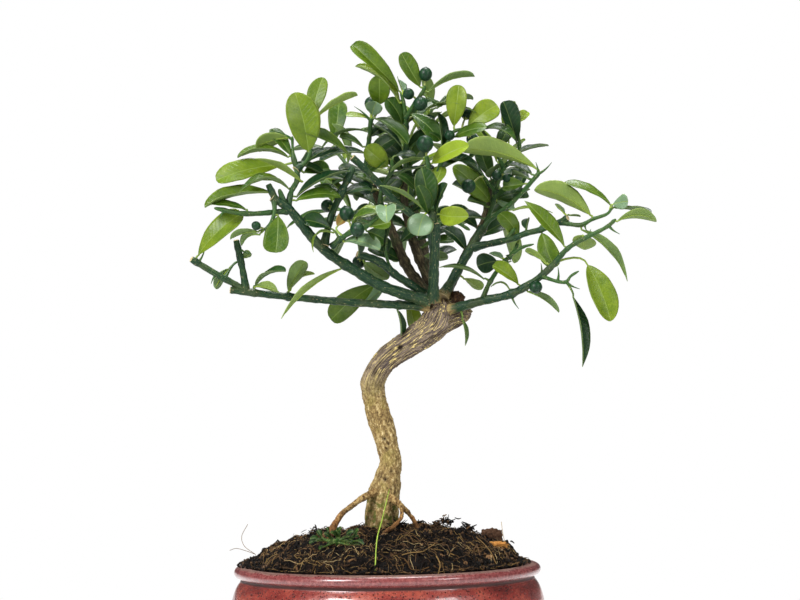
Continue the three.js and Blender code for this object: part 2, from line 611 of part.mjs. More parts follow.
// Turns a closed three.js geometry into a solid
function solidOf(geometry) {
  const bare = geometry.clone();
  bare.deleteAttribute("normal");
  bare.deleteAttribute("uv");
  const merged = mergeVertices(bare, WELD);
  return new wasm.Manifold(new wasm.Mesh({
    numProp: 3,
    vertProperties: new Float32Array(merged.attributes.position.array),
    triVerts: new Uint32Array(merged.index.array),
  }));
}

// Joins rings of points, each wound right-handed about the way the rings follow, into a closed solid
function loft(rings) {
  const sides = rings[0].length;
  const triangles = [];
  for (let ring = 0; ring < rings.length - 1; ring++) {
    for (let side = 0; side < sides; side++) {
      const near = ring * sides + side;
      const next = ring * sides + ((side + 1) % sides);
      triangles.push(near, next, next + sides, near, next + sides, near + sides);
    }
  }
  const last = (rings.length - 1) * sides;
  for (let side = 1; side < sides - 1; side++) {
    triangles.push(0, side + 1, side);
    triangles.push(last, last + side, last + side + 1);
  }
  const geometry = new THREE.BufferGeometry().setFromPoints(rings.flat());
  geometry.setIndex(triangles);
  return solidOf(geometry);
}

// A tapering stick through the given middle points, with its radius at each
function stick(points, radii, sides, margin) {
  const middles = points.map((point) => point.clone());
  const first = middles[0].clone().sub(middles[1]).setLength(margin);
  const end = middles.at(-1).clone().sub(middles.at(-2)).setLength(margin);
  middles[0].add(first);
  middles.at(-1).add(end);
  let across = null;
  const rings = middles.map((middle, index) => {
    const before = middles[Math.max(index - 1, 0)];
    const after = middles[Math.min(index + 1, middles.length - 1)];
    const along = after.clone().sub(before).normalize();
    if (across === null) {
      const helper = Math.abs(along.z) < 0.9 ? new THREE.Vector3(0, 0, 1) : new THREE.Vector3(1, 0, 0);
      across = helper.cross(along).normalize();
    }
    across = across.clone().addScaledVector(along, -across.dot(along)).normalize();
    const over = along.clone().cross(across);
    return Array.from({ length: sides }, (_, side) => {
      const angle = (2 * Math.PI * side) / sides;
      const radius = radii[index] + margin;
      return middle.clone()
        .addScaledVector(across, radius * Math.cos(angle))
        .addScaledVector(over, radius * Math.sin(angle));
    });
  });
  return loft(rings);
}

function seenStick(rows, sides, margin) {
  const points = rows.map(([across, up, back]) => seen(across, up, back));
  return stick(points, rows.map((row) => row[3]), sides, margin);
}

// The place on a branch's wood that is seen nearest to a given place
function nearestOnWood(wood, across, up) {
  let best = { distance: Infinity };
  for (const path of wood) {
    for (let bend = 0; bend < path.length - 1; bend++) {
      const [x0, z0, y0] = path[bend];
      const [x1, z1, y1] = path[bend + 1];
      const span = (x1 - x0) ** 2 + (z1 - z0) ** 2;
      const along = ((across - x0) * (x1 - x0) + (up - z0) * (z1 - z0)) / span;
      const share = THREE.MathUtils.clamp(along, FROM_ENDS, 1 - FROM_ENDS);
      const x = x0 + share * (x1 - x0);
      const z = z0 + share * (z1 - z0);
      const distance = Math.hypot(across - x, up - z);
      if (distance < best.distance) {
        best = { distance, across: x, up: z, back: y0 + share * (y1 - y0) };
      }
    }
  }
  return best;
}

// A leaf with its stalk: a thin blade with a ridge along its middle on both sides
function leafSolid(root, foot, tip, normal, width, arch, margin) {
  const along = tip.clone().sub(foot);
  const length = along.length();
  along.normalize();
  const side = normal.clone().cross(along).normalize().negate();
  const thickness = LEAF_THICKNESS / 2 + margin;
  const ring = (middle, half, thick) => [
    middle.clone().addScaledVector(side, half),
    middle.clone().addScaledVector(normal, -thick),
    middle.clone().addScaledVector(side, -half),
    middle.clone().addScaledVector(normal, thick),
  ];
  const rings = [ring(root, STALK_RADIUS + margin, STALK_RADIUS + margin)];
  for (const [place, share] of length < SHORT_LEAF ? SHORT_OUTLINE : LEAF_OUTLINE) {
    const middle = foot.clone().lerp(tip, place)
      .addScaledVector(normal, 4 * arch * length * place * (1 - place));
    const half = Math.max(share * width / 2, STALK_RADIUS) + margin;
    rings.push(ring(middle, half, thickness));
  }
  if (margin > 0) {
    rings.at(-1).forEach((point) => point.addScaledVector(along, margin));
  }
  return loft(rings);
}

// The upper side of a leaf, from its face angle: 0 looks at the viewer, 90 up and 180 away
function faceNormal(foot, tip, face) {
  const along = tip.clone().sub(foot).normalize();
  const viewer = EYE.clone().sub(foot).normalize();
  const towards = viewer.addScaledVector(along, -viewer.dot(along)).normalize();
  const upwards = towards.clone().cross(along).normalize();
  if (upwards.z < 0) {
    upwards.negate();
  }
  const angle = THREE.MathUtils.degToRad(face);
  return towards.multiplyScalar(Math.cos(angle)).addScaledVector(upwards, Math.sin(angle));
}

function branchLeaf(wood, row, margin) {
  const [footX, footZ, tipX, tipZ, behind, width, face, arch, rootX = footX, rootZ = footZ] = row;
  const root = nearestOnWood(wood, rootX, rootZ);
  const foot = seen(footX, footZ, root.back);
  const tip = seen(tipX, tipZ, root.back + behind);
  const start = seen(root.across, root.up, root.back);
  if (start.distanceTo(foot) < SHORTEST_STALK) {
    foot.addScaledVector(tip.clone().sub(foot).normalize(), SHORTEST_STALK);
  }
  return leafSolid(start, foot, tip, faceNormal(foot, tip, face), width, arch, margin);
}

function branchSolid(branch, margin) {
  const solids = branch.wood.map((path) => {
    const sides = path[0][3] > TWIG_RADIUS ? LIMB_SIDES : TWIG_SIDES;
    return seenStick(path, sides, margin);
  });
  for (const [footX, footZ, tipX, tipZ] of branch.thorns) {
    const root = nearestOnWood(branch.wood, footX, footZ);
    const foot = seen(root.across, root.up, root.back);
    const tip = seen(tipX, tipZ, root.back - 1);
    solids.push(stick([foot, tip], [THORN_RADIUS, THORN_RADIUS / 4], THORN_SIDES, margin));
  }
  for (const row of branch.leaves) {
    solids.push(branchLeaf(branch.wood, row, margin));
  }
  return wasm.Manifold.union(solids);
}

// Leaves that wind up a twig, each turned by the golden angle from the one below
function spraySolid([, leaves, long, wood], margin) {
  const curve = new THREE.CatmullRomCurve3(wood.map(([across, up, back]) => seen(across, up, back)));
  const solids = [seenStick(wood, TWIG_SIDES, margin)];
  for (let index = 0; index < leaves; index++) {
    const share = index / (leaves - 1);
    const place = SPRAY_BARE + (0.98 - SPRAY_BARE) * share;
    const root = curve.getPoint(place);
    const along = curve.getTangent(place);
    const level = new THREE.Vector3(0, 0, 1).cross(along).normalize();
    const over = along.clone().cross(level);
    const angle = index * GOLDEN_ANGLE;
    const lean = THREE.MathUtils.lerp(SPRAY_LEAN[0], SPRAY_LEAN[1], share);
    const outward = level.multiplyScalar(Math.cos(angle)).addScaledVector(over, Math.sin(angle))
      .addScaledVector(along, lean).normalize();
    const length = long * (0.86 + 0.14 * Math.sin(2.3 * index + long));
    const foot = root.clone().addScaledVector(outward, SPRAY_STALK);
    const tip = foot.clone().addScaledVector(outward, length);
    tip.z -= SPRAY_DROOP * length;
    const lie = tip.clone().sub(foot).normalize();
    const normal = SPRAY_UP.clone().addScaledVector(lie, -lie.dot(SPRAY_UP)).normalize();
    solids.push(leafSolid(root, foot, tip, normal, length * SPRAY_WIDTH, SPRAY_ARCH, margin));
  }
  return wasm.Manifold.union(solids);
}

// Trunk with its stump and dead core, the roots above the soil and the roots inside it
function trunkSolid(margin) {
  const solids = [seenStick(TRUNK, TRUNK_SIDES, margin), seenStick(STUMP, STUMP_SIDES, margin),
    seenStick(DEAD_CORE, STUMP_SIDES, margin)];
  for (const root of SURFACE_ROOTS) {
    solids.push(seenStick(root, LIMB_SIDES, margin));
  }
  const crown = seen(TRUNK[0][0], ROOT_CROWN_HEIGHT, 0);
  for (let index = 0; index < BURIED_ROOTS; index++) {
    const heading = (2 * Math.PI * (index + 0.5)) / BURIED_ROOTS;
    const points = BURIED_ROOT.map(([out, down]) => new THREE.Vector3(
      crown.x + out * Math.cos(heading), crown.y + out * Math.sin(heading), crown.z + down));
    solids.push(stick(points, BURIED_ROOT.map((row) => row[2]), LIMB_SIDES, margin));
  }
  return wasm.Manifold.union(solids);
}

function potSolid() {
  const profile = [...POT_OUTSIDE, ...POT_LIP, ...POT_INSIDE].map(([r, z]) => new THREE.Vector2(r, z));
  const body = solidOf(new THREE.LatheGeometry(profile, POT_SIDES).rotateX(Math.PI / 2));
  const holes = Array.from({ length: DRAIN_HOLES }, (_, index) => {
    const heading = (2 * Math.PI * index) / DRAIN_HOLES + Math.PI / 2;
    const depth = 3 * FLOOR_THICKNESS;
    const hole = new THREE.CylinderGeometry(DRAIN_RADIUS, DRAIN_RADIUS, depth, HOLE_SIDES);
    hole.rotateX(Math.PI / 2);
    hole.translate(DRAIN_CIRCLE * Math.cos(heading), DRAIN_CIRCLE * Math.sin(heading), 0);
    return solidOf(hole);
  });
  return body.subtract(wasm.Manifold.union(holes));
}

function meshSolid() {
  const disc = new THREE.CylinderGeometry(MESH_RADIUS, MESH_RADIUS, MESH_THICKNESS, DISC_SIDES);
  disc.rotateX(Math.PI / 2);
  disc.translate(0, 0, FLOOR_THICKNESS + GAP + MESH_THICKNESS / 2);
  const holes = [];
  for (let row = -MESH_ROWS; row <= MESH_ROWS; row++) {
    for (let column = -MESH_ROWS; column <= MESH_ROWS; column++) {
      const x = row * MESH_PITCH;
      const y = column * MESH_PITCH;
      if (Math.hypot(x, y) < MESH_RADIUS - MESH_HOLE) {
        const hole = new THREE.BoxGeometry(MESH_HOLE, MESH_HOLE, 4 * MESH_THICKNESS);
        hole.translate(x, y, FLOOR_THICKNESS + GAP);
        holes.push(solidOf(hole));
      }
    }
  }
  return solidOf(disc).subtract(wasm.Manifold.union(holes));
}

// Height of the soil's surface, as a mound with low bumps
function soilHeight(x, y) {
  const share = Math.min(Math.hypot(x, y) / SOIL_RADIUS, 1);
  const shoulder = 1 - share ** SOIL_SHOULDER_SHARPNESS;
  const bumps = Math.sin(0.21 * x + 1.3) * Math.cos(0.17 * y) + 0.6 * Math.sin(0.33 * y + 0.11 * x);
  const clods = SOIL_CLODS.reduce((sum, [over, behind, reach, height]) => (
    sum + height * Math.exp(-((Math.hypot(x - over, y - behind) / reach) ** 2))), 0);
  return SOIL_EDGE_HEIGHT + SOIL_RISE * (1 - share ** SOIL_RISE_SHARPNESS)
    + (SOIL_SHOULDER + SOIL_BUMPS * bumps + clods) * shoulder;
}

function soilSolid() {
  const rings = [];
  const ringAt = (radius, height) => Array.from({ length: POT_SIDES }, (_, side) => {
    const angle = (2 * Math.PI * side) / POT_SIDES;
    const x = radius * Math.cos(angle);
    const y = radius * Math.sin(angle);
    return new THREE.Vector3(x, y, height === null ? soilHeight(x, y) : height);
  });
  const wall = POT_INSIDE.slice(1, -1).reverse();
  const bottom = FLOOR_THICKNESS + MESH_THICKNESS + 2 * GAP;
  wall.forEach(([radius, height]) => {
    rings.push(ringAt(radius - 3 * GAP, Math.max(height + GAP, bottom)));
  });
  SOIL_RINGS.forEach((share) => rings.push(ringAt(share * SOIL_RADIUS, null)));
  return loft(rings);
}

function weedSolid(margin) {
  const leaves = WEED_LEAVES.map((row) => branchLeaf([WEED_STEM], row, margin));
  return wasm.Manifold.union([seenStick(WEED_STEM, TWIG_SIDES, margin), ...leaves]);
}

function chipSolid(margin) {
  const [width, depth, height] = [CHIP.width, CHIP.depth, CHIP.height].map((size) => size + 2 * margin);
  const chip = new THREE.BoxGeometry(width, depth, height);
  chip.rotateX(CHIP.lean);
  chip.rotateZ(CHIP.turn);
  const place = seen(CHIP.across, CHIP.up, CHIP.back);
  chip.translate(place.x, place.y, place.z);
  return solidOf(chip);
}

function fruitBody(row, margin) {
  const [, bearer, across, up, behind, radius] = row;
  const branch = BRANCHES.find((candidate) => candidate.name === bearer);
  const root = nearestOnWood(branch.wood, across, up);
  const centre = seen(across, up, root.back + behind);
  const ball = new THREE.IcosahedronGeometry(radius + margin, 1);
  ball.scale(1, 1, FRUIT_LENGTH);
  ball.translate(centre.x, centre.y, centre.z);
  return { solid: solidOf(ball), centre, start: seen(root.across, root.up, root.back) };
}

// Drops loose bits and closed hollows
function largestPiece(solid) {
  return solid.decompose().reduce((largest, piece) => (piece.volume() > largest.volume() ? piece : largest));
}

// Cuts a solid back from its neighbours
function clear(solid, neighbours) {
  const near = neighbours.filter((other) => {
    const a = solid.boundingBox();
    const b = other.boundingBox();
    return [0, 1, 2].every((axis) => a.min[axis] <= b.max[axis] && b.min[axis] <= a.max[axis]);
  });
  return near.length === 0 ? solid : solid.subtract(wasm.Manifold.union(near));
}

const group = new THREE.Group();

function addPiece(name, solid, colour, roughness) {
  const mesh = largestPiece(solid.simplify(SHORTEST_STEP)).getMesh();
  const geometry = new THREE.BufferGeometry();
  geometry.setAttribute("position", new THREE.BufferAttribute(new Float32Array(mesh.vertProperties), 3));
  geometry.setIndex(new THREE.BufferAttribute(new Uint32Array(mesh.triVerts), 1));
  geometry.computeVertexNormals();
  const material = new THREE.MeshStandardMaterial({ color: colour, roughness, metalness: 0 });
  const piece = new THREE.Mesh(geometry, material);
  piece.name = name;
  group.add(piece);
}

const GLAZE = 0xa2504a;
const PLASTIC = 0x20242a;
const PEAT = 0x1d1712;
const BARK = 0xa38955;
const GREEN_WOOD = 0x355c34;
const LEAF_GREEN = 0x5f8f2c;
const FRUIT_GREEN = 0x16341d;
const GRASS_GREEN = 0x93b53a;
const CHIP_BROWN = 0x57422c;

addPiece("pot", potSolid(), GLAZE, 0.2);
addPiece("drain_mesh", meshSolid(), PLASTIC, 0.6);
addPiece("trunk", trunkSolid(0), BARK, 0.85);

// Neighbours that later pieces keep clear of, each a gap larger than it is
const kept = [trunkSolid(GAP)];
const fruitBodies = FRUITS.map((row) => fruitBody(row, GAP).solid);

for (const branch of BRANCHES) {
  const limb = branch.name.startsWith("limb");
  const solid = clear(branchSolid(branch, 0), [...kept, ...fruitBodies]);
  addPiece(branch.name, solid, limb ? GREEN_WOOD : LEAF_GREEN, 0.5);
  kept.push(branchSolid(branch, GAP));
}
for (const spray of SPRAYS) {
  addPiece(spray[0], clear(spraySolid(spray, 0), [...kept, ...fruitBodies]), LEAF_GREEN, 0.5);
  kept.push(spraySolid(spray, GAP));
}
for (const row of FRUITS) {
  const { solid, centre, start } = fruitBody(row, 0);
  const stalk = stick([start, centre], [STALK_RADIUS, STALK_RADIUS], THORN_SIDES, 0);
  addPiece(row[0], solid.add(clear(stalk, kept)), FRUIT_GREEN, 0.25);
}

addPiece("grass_blade", seenStick(GRASS, THORN_SIDES, 0), GRASS_GREEN, 0.6);
addPiece("weed", weedSolid(0), LEAF_GREEN, 0.6);
addPiece("bark_chip", chipSolid(0), CHIP_BROWN, 0.9);
const buried = [trunkSolid(GAP), seenStick(GRASS, THORN_SIDES, GAP), weedSolid(GAP), chipSolid(GAP)];
addPiece("soil", clear(soilSolid(), buried), PEAT, 0.95);

export default group;
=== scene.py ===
import math
import random

import bmesh
import bpy
import numpy as np
from mathutils import Matrix, Vector, noise


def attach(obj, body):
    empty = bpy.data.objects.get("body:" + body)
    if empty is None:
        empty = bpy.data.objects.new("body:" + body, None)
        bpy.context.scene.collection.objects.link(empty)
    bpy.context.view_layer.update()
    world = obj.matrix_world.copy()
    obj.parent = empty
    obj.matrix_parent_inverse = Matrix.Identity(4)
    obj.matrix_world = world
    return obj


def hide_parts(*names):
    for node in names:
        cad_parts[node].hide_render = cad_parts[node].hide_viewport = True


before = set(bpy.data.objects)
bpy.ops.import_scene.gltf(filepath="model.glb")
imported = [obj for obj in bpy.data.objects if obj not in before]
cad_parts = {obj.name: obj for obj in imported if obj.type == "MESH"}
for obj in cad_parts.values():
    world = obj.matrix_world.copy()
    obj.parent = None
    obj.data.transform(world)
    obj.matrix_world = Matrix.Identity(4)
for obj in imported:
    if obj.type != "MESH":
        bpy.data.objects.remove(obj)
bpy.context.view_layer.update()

# Lengths in the tables are millimetres, and the scene is in metres
MM = 0.001
BODY = "root"

# How the tree's places are given: as seen from the front, across and up in the plane of the pot's
# axis, then how far behind that plane. The eye stands in front, and the head is tilted a little.
EYE = (8.2, -1320, 169)
VIEW_MIDDLE = (6, 200)
HEAD_TILT = math.radians(0.8)
LENS = 118.8

# Pot: radius and height up the outside, over the lip and down the inside
POT_OUTSIDE = [(0, 0), (48, 0), (51, 0.3), (53, 1.4), (60.5, 7.8), (69.8, 22), (75.8, 36), (77.8, 48),
               (77.2, 53), (75.6, 57.6), (73.6, 60.6), (72.9, 61.9)]
POT_LIP = [(73.6, 62.7), (75.4, 63.4), (76.4, 65.2), (76, 66.9), (74.4, 68.1), (71.6, 68.5), (69.2, 67.9)]
POT_INSIDE = [(67.9, 66.6), (67.5, 64.8), (69.6, 48), (66.4, 31), (57, 15), (50, 10.2), (44, 9), (0, 9)]
DRAIN_HOLES = 3
DRAIN_RADIUS = 4.5
DRAIN_CIRCLE = 17

# Soil
SOIL_RADIUS = 66.6
SOIL_EDGE_HEIGHT = 68
SOIL_SHOULDER = 6.5
SOIL_SHARPNESS = 22
SOIL_RISE = 12
# Clods that stand out of the mound: x, y, reach, height
SOIL_CLODS = [(49, -3, 10, 1.8), (38, -9, 6, 2.6), (-33, -6, 8, 1.6), (20, 8, 10, 2.4), (12, -32, 8, 1.2)]

# Trunk, its stump, its dead core and the roots above the soil: across, up, back, radius
TRUNK = [(-3.5, 80, 0, 9), (-3, 95, 0, 8.4), (-1.6, 104, 0, 8), (0, 111, 0.5, 6.8),
         (1.3, 119, 1, 5.8), (-0.3, 127, 2, 5.8), (-2.5, 135.5, 3, 6.2), (-5.2, 143.5, 3, 6.3),
         (-7, 151.5, 2, 5.9), (-7.4, 158.5, 0, 5.7), (-5, 165, -2, 5.8), (-1.1, 170, -3, 5.9),
         (4.3, 174.5, -3, 6.2), (10.6, 178.5, -2, 6.5), (17, 182.7, -1, 7.2), (22.6, 187, 0, 8),
         (25.8, 192.5, 0, 8), (26.8, 198.5, 0, 5.6)]
STUMP = [(20, 186, 0, 7.2), (26.5, 189.5, 0, 7.1), (32.5, 191.6, 1, 6.4), (37.5, 193.2, 2, 5.2),
         (40.6, 193.8, 2, 3.6)]
CORE = [(30, 193, 1, 5), (33.5, 199, 2, 4.6), (35, 203, 3, 3.2)]
SURFACE_ROOTS = [
    [(-4, 105, -4, 2.2), (-11, 101.8, -10, 1.8), (-16.5, 98.4, -13, 1.7), (-23, 93, -16, 1.6),
     (-27.5, 86.5, -18, 1.7), (-30, 79, -20, 1.4), (-36, 70, -24, 0.9)],
    [(0, 102.5, -6, 1.8), (4.5, 99, -9, 1.5), (8.5, 95.5, -9, 1.3), (12, 91, -8, 1.3),
     (14.5, 86, -8, 1.4), (18, 76, -9, 1)],
    [(5, 99, -8, 1.3), (6.8, 95, -12, 1.1), (6, 90.5, -17, 1.1), (2, 86.5, -22, 1.1),
     (-2.5, 83, -27, 1.1), (-6, 77, -31, 0.8)],
]
BURIED_ROOTS = 5
BURIED_ROOT = [(0, 0, 6), (12, -9, 4), (30, -25, 2), (42, -44, 0.8)]
ROOT_CROWN_HEIGHT = 86
KNUCKLE = (25, 195, 0)

# Tones of a leaf beyond the greens: a grey that is a painted sheen of reflected light, and dry brown
GREY_SHEEN = 1.15
DRY = 1.3

# Branches. wood: across, up, back and radius of each bend. thorns: foot and tip, across and up.
# leaves: foot across and up, tip across and up, how far the tip lies behind the foot, full width,
# face (0 faces the viewer, 90 up, 180 away), arch as a share of the length, tone (0 deep green, 1
# lime), and for a few leaves the place on the wood, across and up, where the stalk starts. A leaf's
# tone follows how light or dark it looks, so it is partly its own green and partly painted light and
# shade.
BRANCHES = {
    "limb_left_low": {"wood": [
        [(20, 197, -4, 2.3), (-14, 198.5, -14, 1.9), (-48.5, 201.5, -24, 1.8), (-79, 205, -30, 1.8)],
        [(-72, 204.4, -28, 1.4), (-76, 207.5, -29, 1.5), (-86, 213, -33, 1.5), (-98.5, 220.5, -38, 1.6)],
        [(-71, 204.2, -28, 1.5), (-72.5, 214, -30, 1.6), (-76, 230, -34, 1.6)],
        [(-82, 210.5, -31, 0.8), (-78, 217, -24, 0.6), (-75, 219.5, -20, 0.5)],
    ], "thorns": [
        (-95, 219, -91.5, 226), (-86, 212.5, -88.5, 208), (-74.5, 226, -68, 223),
    ], "leaves": [
        (-95, 222.5, -74, 244, -6, 13, 35, 0.1, 0.72), (-78.5, 217, -87, 206, -4, 6, 150, 0.05, GREY_SHEEN),
        (-74.5, 220, -68.5, 223.5, 0, 5, 140, 0.05, 0.5),
        (-66.5, 207.5, -51.5, 215, -10, 9, 88, 0.12, 0.25), (-66, 207, -55, 205, -8, 8, 130, 0.05, 0.8),
        (-50, 204.5, -41.5, 219.5, -4, 9, 150, 0.1, 0.6), (-49, 205, -36.5, 213, 4, 6, 120, 0.25, 0.8),
        (5, 195, 6.5, 182, 4, 6, 60, 0.05, 0.15),
    ]},
    "limb_left": {"wood": [
        [(20, 199.5, -6, 2.9), (0.5, 205.5, -16, 2.8), (-14.5, 213.5, -23, 2.7), (-33.5, 226.5, -31, 2.4),
         (-49, 245, -40, 2.2), (-58, 251.5, -43, 2.1)],
        [(-50.5, 244.5, -40, 1.3), (-71, 243.2, -48, 1.2), (-87, 246, -52, 1)],
        [(-56, 249.5, -42, 1.5), (-60, 258, -43, 1.4)],
        [(-51.5, 247, -41, 1.3), (-54.5, 255.5, -42, 1.2)],
    ], "thorns": [
        (-40, 234, -38, 229), (-82, 245, -84, 241),
    ], "leaves": [
        (-23.5, 216, -54, 191, -10, 7, 120, 0.08, 0.8), (-57.5, 254.5, -92, 247.5, -6, 12, 60, 0.05, 0.6),
        (-71, 245.5, -88, 249, -2, 8, 60, 0.05, 0.45),
    ]},
    "limb_left_mid": {"wood": [
        [(22, 200.5, -3, 2.2), (11, 208, -9, 2.1), (4.5, 212, -13, 2), (-5, 219.5, -18, 2),
         (-15.5, 223, -22, 1.8)],
        [(3, 213.5, -12, 0.8), (0, 219, -12, 0.7), (-1.5, 226, -12, 0.6)],
    ], "thorns": [], "leaves": [
        (-1, 222, -2.5, 231.5, 2, 7, 40, 0.05, 0.15), (-1, 228, 1, 237.5, 4, 7, 60, 0.05, 0.02),
        (-12, 219, 0, 211, 12, 9, 150, 0, 0.5),
    ]},
    "limb_crown_front": {"wood": [
        [(23, 202, 5, 2.1), (22.5, 227.5, 0, 2), (18.5, 236, -4, 1.9), (11.5, 243, -8, 1.8),
         (4.5, 248.5, -11, 1.7), (-9, 263, -18, 1.7), (-18, 271.5, -22, 1.8)],
    ], "thorns": [
        (-2, 256, -5, 252),
    ], "leaves": [
        (-19, 272.5, -45.5, 286, -14, 10, 60, 0.06, 0.5),
    ]},
    "limb_centre": {"wood": [
        [(22.5, 200, -7, 2.6), (23, 215, -16, 2.5), (24, 239, -28, 2.5)],
        [(24, 237.5, -27, 1), (30, 241, -30, 0.9), (41, 235, -34, 0.9)],
    ], "thorns": [
        (33, 239.5, 32.5, 235),
    ], "leaves": []},
    "limb_right_up": {"wood": [
        [(27.5, 202, -2, 2.4), (38, 220, 4, 2.2), (48, 237, 9, 2.2)],
        [(47, 234, 8, 1.3), (49.8, 239, 8, 1.3), (54, 242.5, 6, 1.2), (63.5, 250, 0, 1.1),
         (76, 264, -8, 1)],
    ], "thorns": [
        (76, 264, 82, 269), (75.5, 263.5, 74, 269), (56.5, 245, 59, 241.5),
    ], "leaves": [
        (75, 265.5, 37.8, 275.5, -14, 14, 140, 0.1, 0.85), (38, 211, 47, 205.5, 6, 7, 130, 0.05, 0.8),
        (69.5, 258.5, 57.5, 256.5, 4, 9, 30, 0.05, 0.5), (73.5, 262.5, 60, 268.5, 6, 8, 60, 0.05, 0.15),
        (72, 260.5, 62.5, 263, 8, 8, 80, 0.05, 0.12),
    ]},
    "limb_right_mid": {"wood": [
        [(43, 226.5, 6, 1.8), (61.5, 230.5, -4, 1.6), (68.5, 233.2, -8, 1.5), (79, 236, -14, 1.4),
         (90, 241.2, -20, 1.4)],
        [(86, 239, -18, 1.1), (96, 237.5, -22, 1), (102.5, 240.5, -24, 0.9), (109.5, 243, -26, 0.8),
         (112, 246, -27, 0.7)],
        [(60, 230.5, -3, 1), (63.5, 236, -5, 0.9)],
        [(76, 235, -12, 0.9), (78.5, 238.5, -14, 0.9)],
    ], "thorns": [
        (98.5, 238.5, 99.5, 234.5),
    ], "leaves": [
        (77, 233.5, 83.5, 216.5, -4, 10.5, 10, 0.05, 0.6),
        (97, 235.5, 121.5, 210.5, -6, 9, 125, 0.08, 0.55),
        (101.5, 242.5, 73.5, 256, -8, 12.5, 150, 0.1, 0.85),
        (88.5, 243.5, 84, 248.5, -2, 5, 120, 0, GREY_SHEEN), (91, 242.8, 96.5, 242.3, -1, 4, 100, 0, 0.4),
        (111.5, 248, 88.2, 259, 2, 9, 65, 0.1, 0.55), (112.5, 248, 120, 249.5, -6, 8, 30, 0, GREY_SHEEN),
        (114, 246.5, 132, 244, -4, 8, 90, 0.02, 0.2), (69, 235.5, 70.5, 241, 2, 7, 60, 0, 0.15),
    ]},
    "limb_right_low": {"wood": [
        [(28, 194.5, -3, 2.4), (47, 199.5, -12, 2.2), (61.5, 203, -18, 2), (74, 210, -24, 1.7),
         (82, 217, -28, 1.5), (91.5, 227, -34, 1.2), (108.5, 236, -42, 1), (114, 240.5, -45, 0.8)],
        [(76.5, 212, -26, 0.9), (84, 209.5, -28, 0.8), (89, 209, -30, 0.8), (91.5, 212, -31, 0.7),
         (95.5, 214.5, -32, 0.6)],
    ], "thorns": [
        (61.5, 203, 65.5, 195.5), (84.5, 209.5, 85, 216.5), (89, 209, 96, 205.5),
        (76.5, 212.5, 76.5, 218.5), (99.5, 231.5, 101.5, 235.5), (110, 237, 116, 233),
    ], "leaves": [
        (65.3, 208, 52.5, 217.5, -4, 10, 40, 0.1, 0.75), (61, 205.5, 51.5, 207, -2, 4, 90, 0.3, 0.5),
        (70, 204.5, 85.8, 194, -3, 7, 120, 0.06, 0.4), (88.5, 227, 68.5, 250, 4, 10, 40, 0.06, 0.6),
        (79.5, 218.5, 69, 225.5, 2, 6, 120, 0.05, 0.75),
        (100, 217.5, 111.5, 189.5, -6, 14, 15, 0.05, 0.75, 84, 219),
        (93, 201.5, 99, 166.8, -4, 10, 60, 0.03, 0.2), (97.5, 232.5, 98.5, 225.5, 10, 12, 160, 0, 0.8),
        (113, 239.5, 134.5, 240.5, -4, 9, 130, 0.2, 0.7),
        (37.5, 190.5, 39.5, 177, 6, 4.4, 60, 0.05, 0.42),
    ]},
    "limb_rear_left": {"wood": [
        [(22, 200, 6, 3), (10, 216, 14, 2.6), (3, 232, 18, 2.3), (-3, 246, 18, 1.9), (-8, 258, 14, 1.6)],
    ], "thorns": [], "leaves": [
        (8, 219, -10, 226, 4, 9, 40, 0.08, 0.12), (5, 228, 20, 238, 2, 9, 30, 0.08, 0.2),
        (1, 235, -16, 246, 6, 10, 30, 0.08, 0.1), (-1, 241, 14, 250, 4, 9, 40, 0.06, 0.25),
        (-3, 246, -22, 254, 2, 10, 60, 0.1, 0.15), (-5, 251, 6, 262, -2, 9, 20, 0.08, 0.3),
        (-7, 256, -24, 268, 4, 9, 40, 0.06, 0.2), (-8, 259, -16, 250, 6, 8, 120, 0.05, 0.1),
    ]},
    "limb_rear_mid": {"wood": [
        [(25, 200, 8, 2.6), (16, 220, 20, 2.5), (11, 236, 22, 2.2), (8, 252, 18, 1.8), (9, 266, 12, 1.5)],
    ], "thorns": [], "leaves": [
        (17, 226.5, 33, 229.5, 2, 9, 60, 0.08, 0.4), (18, 222, 30, 221.5, 2, 8, 130, 0.05, 0.35),
        (13, 229, 30, 238, 4, 9, 30, 0.08, 0.1), (11, 236, -4, 240, 2, 9, 50, 0.06, 0.2),
        (10, 243, 27, 254, 0, 10, 30, 0.1, 0.15), (8, 250, -6, 260, -2, 9, 40, 0.08, 0.3),
        (8, 256, 24, 266, 2, 10, 50, 0.08, 0.12), (9, 262, -4, 276, 0, 9, 30, 0.08, 0.2),
        (9, 266, 20, 280, -4, 9, 20, 0.08, 0.35),
    ]},
    "limb_rear_right": {"wood": [
        [(28, 200, 6, 2.4), (38, 221, 16, 2.1), (47, 237, 22, 1.8), (50, 250, 21, 1.5),
         (52, 260, 17, 1.3)],
    ], "thorns": [], "leaves": [
        (40, 224, 28, 236, 4, 9, 30, 0.08, 0.12), (43, 230, 60, 240, 2, 10, 30, 0.08, 0.2),
        (46, 235, 30, 246, 0, 10, 40, 0.08, 0.15), (48, 242, 64, 256, -2, 10, 20, 0.08, 0.3),
        (49, 247, 32, 258, 2, 10, 50, 0.1, 0.1), (50, 252, 40, 268, -4, 9, 20, 0.08, 0.2),
        (51, 257, 66, 264, -4, 9, 60, 0.1, 0.15), (52, 260, 46, 276, 2, 9, 20, 0.06, 0.3),
    ]},
    "limb_back": {"wood": [
        [(25, 196, 8, 2.8), (21, 214, 30, 2.4), (16, 234, 48, 2), (12, 250, 60, 1.6)],
    ], "thorns": [], "leaves": [
        (20, 219, 34, 226, 4, 9, 50, 0.08, 0.15), (18, 226, 2, 232, 4, 9, 60, 0.08, 0.1),
        (16, 234, 32, 246, 0, 10, 30, 0.08, 0.2), (14, 242, -4, 250, 2, 10, 40, 0.1, 0.12),
        (12, 250, 24, 264, -4, 10, 20, 0.08, 0.25),
    ]},
    "shoot_left_upright": {"wood": [
        [(-50, 246.5, -40, 1.2), (-48.5, 254, -38, 1.1), (-45.5, 260, -36, 1.1), (-46, 266, -35, 1),
         (-47.5, 272.5, -34, 0.8), (-48, 282, -33, 0.6)],
